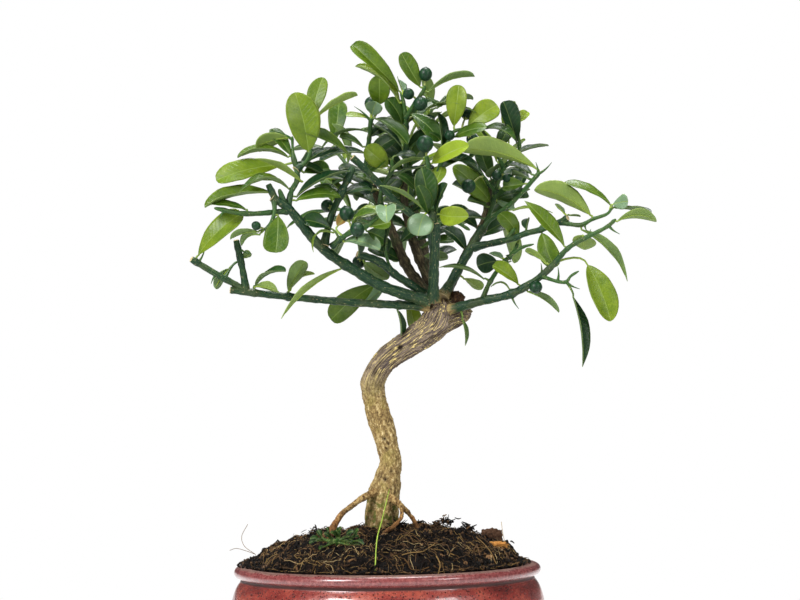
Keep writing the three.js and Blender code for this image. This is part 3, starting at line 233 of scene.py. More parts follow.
        [(-46, 265, -35, 0.9), (-40, 271, -32, 0.9), (-38, 283, -30, 0.8), (-37.5, 291, -28, 0.7)],
    ], "thorns": [
        (-48, 281.5, -57, 284.5), (-46.5, 257.5, -50, 252.5),
    ], "leaves": [
        (-39.5, 273, -46.5, 304, -6, 17, 10, 0.05, 0.72), (-38, 292, -32.5, 311.5, 4, 10, 20, 0.05, 0.65),
        (-36, 292, -15, 302.5, 2, 9, 115, 0.06, 0.8), (-49.5, 281.5, -66.5, 277, -4, 10, 140, 0.05, 0.8),
        (-48.5, 272, -75.5, 271, -6, 9, 70, 0.14, 0.55), (-53, 267.5, -86, 260.5, -8, 13, 35, 0.08, 0.72),
        (-43, 259.5, -66.5, 271.5, -16, 8, 110, 0.05, 0.8), (-49.5, 256, -75, 255, -12, 9, 75, 0.2, 0.5),
        (-48, 269.5, -31.5, 262.5, 6, 8, 60, 0.05, 0.15), (-46, 252, -19, 264.5, 8, 9, 65, 0.08, 0.12),
        (-46, 250, -23.5, 253, 6, 9, 50, 0.1, 0.5), (-42, 264, -29, 266, 14, 9, 30, 0, 0.4),
        (-46.5, 262, -31, 275, 12, 9, 50, 0.1, 0.12), (-43, 268, -26, 276, 6, 8, 60, 0.1, 0.1),
        (-47.5, 271, -58, 286, 4, 9, 40, 0.06, 0.45),
    ]},
    "shoot_left_side": {"wood": [
        [(-57, 250.5, -43, 1.1), (-57, 243, -45, 0.9), (-60, 236.5, -46, 0.8), (-63.5, 235, -46, 0.7)],
    ], "thorns": [
        (-60, 236.5, -62, 231),
    ], "leaves": [
        (-55, 242, -56, 223.5, -4, 13.5, 20, 0.05, 0.52), (-65, 234.5, -79, 230.5, -4, 6, 110, 0.1, 0.5),
        (-64.5, 233, -73.5, 227.5, 2, 6, 100, 0.2, 0.5),
    ]},
    "shoot_left_stick": {"wood": [
        [(-32, 227.5, -31, 1.7), (-28, 243, -29, 1.7), (-17.5, 266.5, -28, 1.7)],
    ], "thorns": [
        (-23, 255, -20, 250),
    ], "leaves": [
        (-25, 254, -36, 258, 6, 9, 60, 0.05, 0.3), (-24, 252, -8, 256, 6, 9, 60, 0.1, 0.15),
        (-20, 260, -34, 262, 8, 8, 50, 0.08, 0.12),
    ]},
    "shoot_left_front": {"wood": [
        [(-28, 227, -30, 1.2), (-21, 232.5, -36, 1), (-12, 236, -41, 0.9), (-4, 243, -43, 0.8),
         (-1, 248, -43, 0.7)],
    ], "thorns": [], "leaves": [
        (-22, 229.5, -4, 225, -8, 11, 50, 0.08, GREY_SHEEN), (-20, 234, -5.5, 243.5, -8, 8, 70, 0.2, 0.5),
        (-10, 236.5, 1.5, 239, -2, 9, 30, 0, 0.6), (-16, 241.5, -6, 247, 6, 8, 40, 0, 0.75),
        (-10.5, 234.5, -2, 230.5, 8, 9, 20, 0, 0.35), (-25.5, 237, -20, 243, 2, 7, 30, 0, DRY),
        (-1, 247.5, -0.5, 239.5, -15, 11.5, 0, 0.1, GREY_SHEEN),
        (-29, 236, -42.5, 240.5, -4, 10, 40, 0.05, 0.2), (-27.5, 234, -38, 224.5, -10, 5, 90, 0.3, 0.7),
        (-17, 234, -14, 222, 8, 8, 60, 0.05, 0.15), (-6, 241, 8, 246, 6, 8, 50, 0.05, 0.2),
    ]},
    "shoot_centre_tuft": {"wood": [
        [(23.5, 236, -27, 1.4), (22.5, 242, -29, 1.2), (22, 246, -30, 0.9)],
    ], "thorns": [], "leaves": [
        (21.5, 244, 17, 266, -6, 12, 10, 0.08, 0.3), (20, 243.5, 15.5, 257, -12, 8, 30, 0.05, 0.3),
        (24, 244, 29.5, 258.5, -6, 8, 50, 0.05, 0.15), (19.5, 244.5, -3.8, 258.2, 2, 8, 95, 0.06, 0.5),
        (26, 243, 39.5, 242, -14, 11, 0, 0.1, 0.9), (18.5, 243, 15, 232.5, -18, 13, 0, 0.1, GREY_SHEEN),
    ]},
    "shoot_crown_front": {"wood": [
        [(24, 236, -24, 1.2), (21.5, 252, -20, 1.1), (20, 268, -18, 1), (19, 273, -18, 0.8)],
    ], "thorns": [], "leaves": [
        (22, 268.5, 40, 277.8, -10, 10, 20, 0.15, 0.95), (17.5, 271, 1, 265, -6, 7, 95, 0.08, 0.5),
        (18, 267, 3, 262.5, 2, 7, 80, 0.05, 0.15), (23, 257, 27, 266.5, 4, 8, 20, 0.05, 0.75),
    ]},
    "shoot_crown_left": {"wood": [
        [(-7, 254, 14, 1.3), (-11, 262.5, 12, 1.2), (-10, 275, 8, 1.1), (-8.5, 291, 2, 0.9)],
    ], "thorns": [
        (-9, 290.5, -17, 297),
    ], "leaves": [
        (-12, 285.5, -35, 275, -2, 8, 85, 0.15, 0.15), (-12.5, 277, -24, 282.5, -4, 6, 60, 0.05, 0.4),
        (-10, 291.5, -21, 293, -4, 5, 60, 0.05, 0.8), (-8, 292.5, -6, 299, -10, 9, 10, 0, GREY_SHEEN),
        (-4.5, 298, -4.5, 312.5, -10, 11, 10, 0.1, 0.6), (-6, 291, 10, 279, -8, 9, 40, 0.08, 0.4),
        (-7, 288, 7.5, 276.5, -2, 6, 70, 0.05, 0.1), (-12, 274, -34.5, 270, -2, 10, 60, 0.08, 0.15),
        (-11, 265, -28, 258, 4, 9, 60, 0.1, 0.1), (-10.5, 270, 4, 282, -6, 9, 40, 0.08, 0.25),
        (-10, 281, 2, 290, 8, 8, 30, 0.05, 0.15),
    ]},
    "shoot_mid_left": {"wood": [
        [(-4, 247, 17, 1.2), (-3, 256, 8, 1.1), (1.5, 264, 0, 1), (2, 270, -4, 0.8)],
    ], "thorns": [], "leaves": [
        (1, 266, -11, 276.5, -8, 11, 10, 0.1, 0.75), (0, 271, -10, 265, -2, 8, 60, 0.05, 0.4),
        (4, 272.5, 14, 273.5, 2, 7, 60, 0.05, 0.12), (-4.5, 257.5, -16, 262, 0, 8, 70, 0.05, 0.4),
        (-1, 261, 14, 262, 6, 8, 50, 0.08, 0.12), (1.5, 265, 14, 256, 4, 8, 60, 0.1, 0.3),
    ]},
    "shoot_crown_mid": {"wood": [
        [(9, 262, 14, 1.4), (9, 278.5, 6, 1.2), (9, 289.5, 2, 1), (8, 298, -2, 0.9), (6.5, 304, -3, 0.8)],
    ], "thorns": [], "leaves": [
        (6, 299, -16, 317.8, -2, 11, 60, 0.1, 0.8), (5.5, 305, -18.2, 327.8, 2, 12, 30, 0.1, 0.6),
        (7.5, 305, 5.5, 311, 6, 8, 60, 0, GREY_SHEEN), (8, 286.5, -0.5, 301, -6, 10, 30, 0.1, 0.35),
        (10, 294.5, 26, 279.5, -8, 10, 35, 0.1, 0.4), (7.5, 287, 1, 293, 8, 9, 30, 0, 0.1),
        (9, 270, -4, 282, 4, 9, 40, 0.08, 0.12), (9, 275, 24, 286, 6, 9, 40, 0.08, 0.2),
        (9, 282, -6, 288, 8, 8, 60, 0.08, 0.15), (9, 288, 22, 300, 8, 9, 30, 0.08, 0.25),
    ]},
    "shoot_crown_top": {"wood": [
        [(9, 291, 1, 1), (12.5, 297.5, -3, 0.9), (17.5, 304.5, -6, 0.8), (18.5, 308, -7, 0.7)],
    ], "thorns": [], "leaves": [
        (16, 307, 6.5, 323.8, -4, 9.5, 25, 0.08, 0.55), (20, 304.5, 43.5, 312.2, -4, 9, 110, 0.1, 0.5),
        (19.5, 302, 27, 297, -2, 6, 70, 0, 0.35), (19, 296, 44.2, 294.2, -8, 9, 100, 0.13, 0.5),
    ]},
    "shoot_crown_right": {"wood": [
        [(21, 256, -19, 1.1), (26, 267.5, -14, 1), (29.5, 277.5, -10, 0.9), (32.5, 284, -8, 0.8),
         (38.5, 286, -8, 0.7)],
    ], "thorns": [], "leaves": [
        (33, 287, 35.5, 307.8, -4, 11, 15, 0.1, 0.8), (40, 287, 54.5, 298, -2, 12, 20, 0.1, 0.78),
        (32, 281.5, 49.5, 286.5, -8, 9.5, 50, 0.1, 0.5), (27, 276, 26, 294, 6, 8.5, 60, 0.05, 0.15),
        (27, 271, 44, 268, 6, 9, 60, 0.1, 0.12), (24.5, 264, 38, 272, 10, 9, 40, 0.08, 0.2),
        (30, 279, 20, 288, 6, 8, 40, 0.06, 0.3),
    ]},
    "shoot_right_top": {"wood": [
        [(51, 257, 18, 1.2), (58, 266, 10, 1), (65.5, 275, 4, 0.9), (64.5, 287.5, 2, 0.7)],
        [(58, 266, 10, 0.9), (52, 278, 2, 0.8), (47, 285, -2, 0.7)],
    ], "thorns": [], "leaves": [
        (48, 286, 63.5, 281, -6, 9, 60, 0.15, 0.4), (65, 277.5, 58.2, 299.5, -6, 12, 20, 0.05, 0.12),
        (65, 289, 70, 294.5, 2, 6, 20, 0, 0.95), (54, 276, 40, 271, 6, 9, 60, 0.08, 0.2),
        (56, 263, 70, 262, 6, 9, 60, 0.08, 0.15), (60, 269, 50, 262, 8, 8, 90, 0.08, 0.1),
        (54, 274, 62, 288, 6, 8, 30, 0.06, 0.35),
    ]},
    "shoot_right_inner": {"wood": [
        [(48, 235, 9, 1.1), (52, 247, 12, 1), (55, 258, 12, 0.9), (58, 266, 6, 0.8)],
        [(54, 254, 12, 0.8), (47, 263, 6, 0.7)],
    ], "thorns": [], "leaves": [
        (51, 249.5, 32.5, 267, -12, 12, 30, 0.08, 0.55), (54.5, 250, 63, 245.5, -4, 7, 60, 0, GREY_SHEEN),
        (50.5, 246.5, 40, 250, -8, 8, 40, 0.05, 0.35), (46.5, 264, 34.5, 271.5, 4, 9, 60, 0.05, 0.12),
        (53, 250, 70, 254, 4, 9, 50, 0.1, 0.2), (49, 241, 34, 240, 4, 9, 60, 0.08, 0.12),
    ]},
    "shoot_right_low": {"wood": [
        [(47, 199.5, -12, 1.1), (50.5, 208, -10, 1.1), (56, 216.5, -6, 1), (63, 224.5, -2, 0.9),
         (65, 229, 0, 0.8)],
        [(60, 221, -4, 0.8), (66.5, 226, -4, 0.7), (73, 228, -6, 0.6)],
    ], "thorns": [
        (58, 219, 62, 219.5),
    ], "leaves": [
        (48, 211, 26, 217.5, -10, 8, 80, 0.08, 0.35), (54.5, 219.5, 44.8, 217, -6, 10.5, 5, 0, 0.15),
        (57.5, 221, 51, 224, 4, 6, 60, 0, GREY_SHEEN), (65, 231.5, 56, 243.5, 0, 10, 30, 0.1, 0.55),
    ]},
    "shoot_below_left": {"wood": [
        [(18, 200, 8, 1.2), (8, 205, 13, 1), (-4, 208.5, 15, 0.8)],
    ], "thorns": [], "leaves": [
        (-6.5, 208, -28.5, 190, 0, 13, 0, 0.08, 0.55), (-2, 205.5, -13, 198, 8, 9, 40, 0, GREY_SHEEN),
        (9, 202, 13.5, 186, 6, 9, 20, 0.05, 0.8),
    ]},
}
OLD_LIMBS = ("limb_rear_left", "limb_rear_mid", "limb_rear_right", "limb_back")

# Leafy shoots behind the crown: number of leaves, length of a leaf, and the twig
SPRAYS = {
    "spray_back_left_low": (7, 27, [(3, 232, 18, 1.3), (-12, 240, 36, 1.1), (-28, 247, 54, 0.8)]),
    "spray_back_left_high": (7, 26, [(-3, 246, 18, 1.3), (-16, 262, 32, 1.1), (-28, 277, 42, 0.8)]),
    "spray_back_low": (7, 28, [(16, 234, 48, 1.3), (12, 240, 64, 1.1), (8, 246, 82, 0.8)]),
    "spray_back_high": (8, 27, [(12, 247, 58, 1.4), (11, 264, 66, 1.1), (8, 281, 70, 0.8)]),
    "spray_back_right_low": (7, 28, [(46, 236, 21, 1.3), (56, 242, 40, 1.1), (63, 248, 60, 0.8)]),
    "spray_back_right_high": (7, 25, [(50, 250, 21, 1.3), (55, 264, 34, 1.1), (60, 276, 44, 0.8)]),
    "spray_back_crown": (8, 24, [(9, 264, 13, 1.3), (17, 280, 24, 1.1), (22, 296, 30, 0.8)]),
}
GOLDEN_ANGLE = math.radians(137.5)
SPRAY_STALK = 3.5
SPRAY_WIDTH = 0.4
SPRAY_ARCH = 0.08
# Share of the twig without leaves, and how much a leaf leans along the twig at its foot and tip
SPRAY_BARE = 0.33
SPRAY_LEAN = (0.45, 1.05)
SPRAY_DROOP = 0.12
SPRAY_UP = Vector((0, -0.25, 1))
SPRAY_TONES = (0.15, 0.3, 0.5, 0.65, 0.75)
SHORTEST_STALK = 1.5

# Fruits: the branch that bears each, centre across and up, how far behind the wood, radius
FRUITS = {
    "fruit_top": ("shoot_crown_top", 18.8, 313.2, -2, 3.5),
    "fruit_crown_left": ("shoot_crown_top", 10.3, 303.3, -6, 3),
    "fruit_crown_right": ("shoot_crown_top", 16.2, 298.4, -9, 3.75),
    "fruit_behind_leaf": ("shoot_crown_left", -8.5, 298.5, 5, 3.5),
    "fruit_crown_rear": ("shoot_crown_mid", 21, 291, 8, 2.6),
    "fruit_yellow_leaf": ("shoot_crown_right", 39.5, 293.5, 5, 3.25),
    "fruit_brown": ("shoot_crown_right", 30.9, 282.5, -5, 2.7),
    "fruit_right_rear": ("shoot_crown_right", 42.3, 280.5, 7, 3.25),
    "fruit_front_large": ("shoot_crown_front", 18.5, 278.2, -8, 4.4),
    "fruit_pair_left": ("shoot_right_inner", 54.4, 262.4, -8, 2.7),
    "fruit_pair_right": ("shoot_right_inner", 59.9, 260.9, -9, 2.7),
    "fruit_inner_right": ("shoot_right_inner", 40.3, 257, -8, 3.7),
    "fruit_inner_left": ("shoot_mid_left", -11.5, 256.3, 0, 3.7),
    "fruit_stick": ("shoot_left_stick", -30.3, 247.1, 6, 3.4),
    "fruit_left_upper": ("shoot_left_front", -20.7, 243.3, 2, 3.8),
    "fruit_left_lower": ("shoot_left_front", -15.4, 235.3, -8, 3.7),
    "fruit_left_small": ("shoot_left_side", -66, 237.2, -2, 2.3),
    "fruit_under_limb": ("limb_left_mid", -14.5, 219, 7, 3.5),
    "fruit_right_low": ("limb_right_low", 73.9, 206.5, -5, 3.4),
}

# Things on the soil
GRASS = [(-6.5, 63, -65, 0.7), (-5.5, 80, -59, 0.7), (-3, 90, -52, 0.6), (-0.5, 100.5, -45, 0.5),
         (0.8, 105.5, -41, 0.3)]
WEED_STEM = [(-25, 74, -40, 0.8), (-25.5, 80.5, -46, 0.7)]
# Leaflets of the weed: middle and reach across and up, and how many
WEED_SPREAD = {"across": -25, "up": 80, "wide": 11, "high": 4.5, "count": 20}
CHIP = {"size": (9, 3.6, 9), "place": (51.8, 81.2, -2), "turn": 0.2, "lean": 0.12}
SLIVER = {"size": (10, 2.2, 2.6), "seen_at": (54.5, 76.5), "lift": 1.1, "turn": 0.3, "lean": 0.5}
# Roots that lie loose on the soil, as they are seen: across, up
LOOSE_ROOTS = [
    [(7, 71.5), (11, 72.6), (17, 73.2), (20.5, 75.2), (23.5, 77.2)],
    [(23, 74.5), (28, 73.5), (33, 71.5)],
    [(24, 71), (25.4, 68.6), (26, 66), (25, 62)],
    [(8.3, 69.2), (10, 67.5), (11.5, 64.5), (16, 64), (20.5, 65.5)],
    [(44, 80.5), (48, 77), (51.5, 72.5), (54, 67)],
    [(22.5, 91), (28, 90.5), (32.8, 89.5)],
]


def seen(across, up, back):
    """The point in the scene at a place given as the eye sees it"""
    right, above = across - VIEW_MIDDLE[0], up - VIEW_MIDDLE[1]
    x = right * math.cos(HEAD_TILT) + above * math.sin(HEAD_TILT)
    z = VIEW_MIDDLE[1] - right * math.sin(HEAD_TILT) + above * math.cos(HEAD_TILT) - EYE[2]
    reach = 1 - back / EYE[1]
    return Vector((EYE[0] + x * reach, back, EYE[2] + z * reach)) * MM


# ---- node trees

def colour(red, green, blue):
    """A colour from its screen levels, 0 to 255"""
    levels = [level / 255 for level in (red, green, blue)]
    return (*(s / 12.92 if s <= 0.04045 else ((s + 0.055) / 1.055) ** 2.4 for s in levels), 1)


class Link:
    """A socket of a node tree; its operators add Math nodes"""

    def __init__(self, network, socket):
        self.network, self.socket = network, socket

    def maths(self, operation, *values):
        return self.network.node("Math", {"operation": operation}, dict(enumerate(values)))

    __add__ = __radd__ = lambda self, other: self.maths("ADD", self, other)
    __mul__ = __rmul__ = lambda self, other: self.maths("MULTIPLY", self, other)
    __sub__ = lambda self, other: self.maths("SUBTRACT", self, other)
    __rsub__ = lambda self, other: self.maths("SUBTRACT", other, self)
    __truediv__ = lambda self, other: self.maths("DIVIDE", self, other)
    __abs__ = lambda self: self.maths("ABSOLUTE", self)
    sine = lambda self: self.maths("SINE", self)

    def rise(self, low, high):
        """0 below low, 1 above high and soft between them"""
        return self.network.node("MapRange", {"interpolation_type": "SMOOTHSTEP"}, {0: self, 1: low, 2: high})

    def ramp(self, *stops):
        """A colour from stops, each a place with red, green and blue"""
        return self.network.node("ValToRGB", {"stops": stops}, {0: self})

    def over(self, share, *shade):
        """This colour with a share of another over it, given as a link or as red, green and blue"""
        return self.network.mix(share, self, shade if len(shade) == 3 else shade[0])

    def vector(self, operation, other=None, output=0):
        inputs = {0: self} if other is None else {0: self, 3 if operation == "SCALE" else 1: other}
        return self.network.node("VectorMath", {"operation": operation}, inputs, output)

    def stretched(self, *factors):
        return self.vector("MULTIPLY", factors)

    def part(self, index):
        return self.network.node("SeparateXYZ", {}, {0: self}, index)


class Network:
    """A node tree that is built up in expressions"""

    def __init__(self, tree):
        self.tree = tree

    def node(self, kind, settings=None, inputs=None, output=0):
        """A node; a kind that names no family is a shader node"""
        node = self.tree.nodes.new(kind if "Node" in kind else "ShaderNode" + kind)
        for name, value in (settings or {}).items():
            if name == "stops":
                self.set_stops(node.color_ramp, value)
            else:
                setattr(node, name, value)
        for name, value in (inputs or {}).items():
            self.fill(node.inputs[name], value)
        return Link(self, node.outputs[output])

    def fill(self, socket, value):
        """Links a socket or sets it; a colour may be given as red, green and blue"""
        if isinstance(value, Link):
            self.tree.links.new(value.socket, socket)
        else:
            socket.default_value = colour(*value) if socket.type == "RGBA" and len(value) == 3 else value

    @staticmethod
    def set_stops(ramp, stops):
        while len(ramp.elements) < len(stops):
            ramp.elements.new(1)
        for element, (place, *shade) in zip(ramp.elements, stops):
            element.position = place
            element.color = colour(*shade)

    def noise(self, vector, scale, detail=3.0, roughness=0.55):
        return self.node("TexNoise", {},
                         {"Vector": vector, "Scale": scale, "Detail": detail, "Roughness": roughness})

    def spots(self, vector, scale):
        """Distance to the nearest of many scattered points"""
        return self.node("TexVoronoi", {}, {"Vector": vector, "Scale": scale}, "Distance")

    def attribute(self, name, output="Fac"):
        return self.node("Attribute", {"attribute_name": name}, {}, output)

    def mix(self, share, first, second):
        return self.node("Mix", {"data_type": "RGBA"}, {0: share, 6: first, 7: second}, 2)


class Finish(Network):
    """A material with one glossy shader, on which values that never change are set"""

    def __init__(self, name, **constants):
        self.material = bpy.data.materials.new(name)
        self.material.use_nodes = True
        super().__init__(self.material.node_tree)
        self.shader = self.tree.nodes["Principled BSDF"]
        self.wear(**constants)

    def place(self):
        """The point of the surface, in millimetres"""
        return self.node("TexCoord", {}, {}, "Object").stretched(1 / MM, 1 / MM, 1 / MM)

    def wear(self, **values):
        for label, value in values.items():
            self.fill(self.shader.inputs[label.replace("_", " ")], value)

    def blend(self, share, other):
        """Mixes a share of another shader in"""
        both = self.node("MixShader", {}, {0: share, 1: Link(self, self.shader.outputs[0]), 2: other})
        self.tree.links.new(both.socket, self.tree.nodes["Material Output"].inputs["Surface"])

    def done(self, shade, roughness, height, depth, strength=1.0, **links):
        """The material, with bumps as deep as the given millimetres"""
        bumps = self.node("Bump", {}, {"Height": height, "Distance": depth * MM, "Strength": strength})
        self.wear(Base_Color=shade, Roughness=roughness, Normal=bumps, **links)
        return self.material


class Recipe(Network):
    """A Geometry Nodes tree with named inputs"""

    def __init__(self, name, **kinds):
        super().__init__(bpy.data.node_groups.new(name, "GeometryNodeTree"))
        inputs = {"Geometry": "Geometry", **kinds}
        for label, kind in inputs.items():
            self.tree.interface.new_socket(label, in_out="INPUT", socket_type="NodeSocket" + kind)
        self.tree.interface.new_socket("Geometry", in_out="OUTPUT", socket_type="NodeSocketGeometry")
        entry = self.tree.nodes.new("NodeGroupInput")
        self.given = {label: Link(self, entry.outputs[label]) for label in inputs}

    def geometry(self, kind, settings=None, output=0, **inputs):
        inputs = {label.replace("_", " "): value for label, value in inputs.items()}
        return self.node("GeometryNode" + kind, settings, inputs, output)

    def named(self, name, kind="FLOAT"):
        return self.geometry("InputNamedAttribute", {"data_type": kind}, Name=name)

    def store(self, geometry, name, value, kind="FLOAT", domain="POINT"):
        return self.geometry("StoreNamedAttribute", {"data_type": kind, "domain": domain},
                             Geometry=geometry, Name=name, Value=value)

    def chance(self, low, high, seed):
        """A random number, or a random vector between two"""
        kind, first = ("FLOAT_VECTOR", 0) if isinstance(low, tuple) else ("FLOAT", 2)
        return self.node("FunctionNodeRandomValue", {"data_type": kind},
                         {first: low, first + 1: high, "Seed": seed}, first // 2)

    def finish(self, geometry):
        geometry = self.geometry("RealizeInstances", Geometry=geometry)
        geometry = self.geometry("SetMaterial", Geometry=geometry, Material=self.given["Finish"])
        self.tree.links.new(geometry.socket, self.tree.nodes.new("NodeGroupOutput").inputs["Geometry"])
        return self.tree


def linked(name, data):
    """A new object in the scene"""
    thing = bpy.data.objects.new(name, data)
    bpy.context.scene.collection.objects.link(thing)
    return thing


def made_by(tree, mesh, **values):
    """The object that a Geometry Nodes tree makes from a mesh, as a plain mesh"""
    piece = linked(mesh.name, mesh)
    modifier = piece.modifiers.new(tree.name, "NODES")
    modifier.node_group = tree
    for socket in tree.interface.items_tree:
        if socket.in_out == "INPUT" and socket.name in values:
            modifier[socket.identifier] = values[socket.name]
    return applied(piece)


def applied(piece):
    """Turns an object's modifiers into its plain mesh"""
    graph = bpy.context.evaluated_depsgraph_get()
    plain = bpy.data.meshes.new_from_object(piece.evaluated_get(graph), preserve_all_data_layers=True,
                                            depsgraph=graph)
    piece.modifiers.clear()
    piece.data = plain
    return piece


def path_recipe():
    """A round stem along every path, with a grain that follows it and a rough skin"""
    recipe = Recipe("stem_along_path", Sides="Int", Relief="Float", Lumps="Float", Finish="Material")
    given, place, thick = recipe.given, recipe.geometry("InputPosition"), recipe.named("thick")
    length = recipe.geometry("SplineParameter", output="Length")
    curve = recipe.store(recipe.geometry("MeshToCurve", Mesh=given["Geometry"]), "along", length / MM)
    ring = recipe.geometry("CurvePrimitiveCircle", {"mode": "RADIUS"}, Resolution=given["Sides"], Radius=1.0)
    ring = recipe.store(ring, "round", place, "FLOAT_VECTOR")
    stem = recipe.geometry("CurveToMesh", Curve=curve, Profile_Curve=ring, Scale=thick, Fill_Caps=True)
    around = recipe.named("round", "FLOAT_VECTOR").vector("SCALE", thick / MM)
    level = recipe.node("CombineXYZ", {}, {2: recipe.named("along")})
    stem = recipe.store(stem, "grain", around.vector("ADD", level), "FLOAT_VECTOR")
    rough = recipe.noise(place, given["Lumps"], 2.0) - 0.5
    offset = recipe.geometry("InputNormal").vector("SCALE", rough * given["Relief"])
    stem = recipe.geometry("SetPosition", Geometry=stem, Offset=offset)
    return recipe.finish(recipe.geometry("SetShadeSmooth", Geometry=stem))


def scatter_recipe():
    """Crumbs of uneven size scattered over a surface"""
    recipe = Recipe("scattered_crumbs", Density="Float", Smallest="Float", Largest="Float",
                    Flatness="Float", Seed="Int", Finish="Material")
    given, place = recipe.given, recipe.geometry("InputPosition")
    spots = recipe.geometry("DistributePointsOnFaces", Mesh=given["Geometry"], Density=given["Density"],
                            Seed=given["Seed"])
    crumb = recipe.geometry("MeshIcoSphere", Radius=1.0, Subdivisions=1)
    turn = recipe.chance((0, 0, 0), (6.28, 6.28, 6.28), 3)
    slab = recipe.node("CombineXYZ", {}, {0: 1.0, 1: 1.0, 2: given["Flatness"]})
    size = recipe.chance((0.6, 0.45, 0.5), (1.3, 1, 1), 7).vector("MULTIPLY", slab)
    size = size.vector("SCALE", recipe.chance(given["Smallest"], given["Largest"], 5))
    crumbs = recipe.geometry("InstanceOnPoints", Points=spots, Instance=crumb, Rotation=turn, Scale=size)
    crumbs = recipe.store(crumbs, "hue", recipe.chance(0.0, 1.0, 11), domain="INSTANCE")
    crumbs = recipe.geometry("RealizeInstances", Geometry=crumbs)
    jitter = recipe.node("TexNoise", {}, {"Vector": place, "Scale": 900.0, "Detail": 1.0}, "Color")
    offset = jitter.vector("SUBTRACT", (0.5, 0.5, 0.5)).vector("SCALE", given["Largest"] * 0.7)
    return recipe.finish(recipe.geometry("SetPosition", Geometry=crumbs, Offset=offset))


# ---- finishes: colours are red, green and blue screen levels, lengths are millimetres

def leaf_greens(tone):
    # The stop at 0.885 is the grey tone, a painted sheen of reflected light; the last stop is dry brown
    return (tone / 1.3).ramp(
        (0, 8, 36, 20), (0.13, 16, 54, 24), (0.33, 50, 84, 18), (0.53, 98, 123, 24), (0.68, 130, 150, 36),
        (0.77, 150, 174, 42), (0.885, 112, 142, 108), (1, 150, 118, 58))


def leaf_finish(name, upper):
    """Green leaf with a pale midrib, slanting side veins, and a paler margin that is partly painted light
    shining through the thin edge
    """
    finish = Finish(name, Specular_IOR_Level=0.3, Coat_Roughness=0.25, Coat_Weight=0.08 if upper else 0.02)
    place, tone, blade = finish.place(), finish.attribute("tone"), finish.attribute("blade", "Vector")
    across, up, share = abs(blade.part(0)), blade.part(1), abs(blade.part(2))
    cloud, mottle = finish.noise(place, 0.16), finish.noise(place, 1.1)
    # Leaves with the painted grey sheen and dry leaves keep their tone
    uneven = 1 - tone.rise(0.85, 1.05) * 0.8
    green = leaf_greens(tone + ((cloud - 0.5) * 0.42 + (mottle - 0.5) * 0.24) * uneven)
    if not upper:
        green = green.over(0.42, 134, 158, 104)
    slant = up - across * 0.75 + (cloud - 0.5) * 1.5
    ridge = abs((slant * (math.pi / 2.4)).sine())
    veins = (1 - ridge.rise(0.0, 0.3)) * share.rise(0.02, 0.2) * (1 - share.rise(0.75, 0.98))
    midrib = 1 - across.rise(0.08, 0.32)
    green = green.over(veins * (0.07 if upper else 0.2), 160, 178, 96)
    green = green.over(midrib * (0.3 + tone * 0.3), 150, 172, 84)
    # Pale margin: partly the leaf's own colour, partly painted light shining through the thin edge
    green = green.over(share.rise(0.93, 0.99) * 0.4, 186, 196, 106)
    green = green.over(finish.noise(place, 0.45, 4.0).rise(0.7, 0.76) * 0.4, 120, 98, 48)
    glands = finish.spots(place, 1.6).rise(0.05, 0.3)
    bumps = glands * 0.15 - veins * 0.4 - midrib * 0.4 + mottle * 0.9 + cloud * 0.8
    finish.blend(0.22, finish.node("BsdfTranslucent", {}, {"Color": green.over(0.55, 160, 184, 36)}))
    return finish.done(green, 0.26 + mottle * 0.24 if upper else 0.5 + mottle * 0.14, bumps, 0.26, 0.75)


def stalk_finish():
    """Young green stalk, lighter than the leaf"""
    finish = Finish("leaf_stalk")
    flecks = finish.noise(finish.place(), 1.4)
    green = leaf_greens(finish.attribute("tone") * 0.6 + 0.28)
    green = green.over(flecks.rise(0.45, 0.7) * 0.5, 158, 172, 84)
    return finish.done(green, 0.42 + flecks * 0.2, flecks, 0.1)


def green_wood_finish():
    """Young bark: dark green with pale streaks, brown patches, small pores and a tan collar"""
    finish = Finish("green_bark", Specular_IOR_Level=0.25)
    place, grain = finish.place(), finish.attribute("grain", "Vector")
    streaks = finish.noise(grain.stretched(1, 1, 0.1), 1.3, 4.0, 0.65)
    fine = finish.noise(grain.stretched(1, 1, 0.16), 3.4, 2.0)
    pores = 1 - finish.spots(grain.stretched(1, 1, 0.45), 0.75).rise(0.08, 0.2)
    green = finish.mix(finish.attribute("thick").rise(0.0008, 0.0019), (46, 82, 30), (14, 48, 27))
    green = green.over(streaks.rise(0.5, 0.66) * 0.45, 78, 100, 54)
    green = green.over(fine.rise(0.6, 0.68) * 0.3, 140, 150, 104)
    green = green.over(finish.noise(place, 0.11).rise(0.52, 0.66) * 0.3, 76, 80, 46)
    green = green.over(pores * 0.7, 152, 142, 104)
    near = place.vector("DISTANCE", tuple(seen(*KNUCKLE) / MM), "Value")
    collar = 1 - (near + (streaks - 0.5) * 14).rise(9, 12)
    tan = streaks.ramp((0.38, 96, 78, 50), (0.5, 146, 124, 78), (0.62, 190, 172, 112))
    return finish.done(green.over(collar * 0.9, tan), 0.38 + fine * 0.25,
                       streaks * 0.4 + fine * 0.3 + pores * 0.6, 0.16)


def old_bark_finish():
    """Old bark on the rear limbs: grey-brown with lengthways cracks"""
    finish = Finish("old_bark", Specular_IOR_Level=0.2)
    grain = finish.attribute("grain", "Vector")
    streaks = finish.noise(grain.stretched(1, 1, 0.16), 0.9, 5.0, 0.65)
    cracks = 1 - abs(finish.noise(grain.stretched(1, 1, 0.14), 1.5, 2.0) - 0.5).rise(0.0, 0.05)
    brown = streaks.ramp((0.3, 34, 30, 22), (0.5, 70, 62, 44), (0.7, 112, 102, 74))
    brown = brown.over(cracks * 0.75, 22, 18, 12)
    brown = brown.over(finish.noise(finish.place(), 0.12).rise(0.5, 0.62) * 0.5, 48, 66, 34)
    return finish.done(brown, 0.72 + streaks * 0.2, streaks - cracks * 0.8, 0.5)


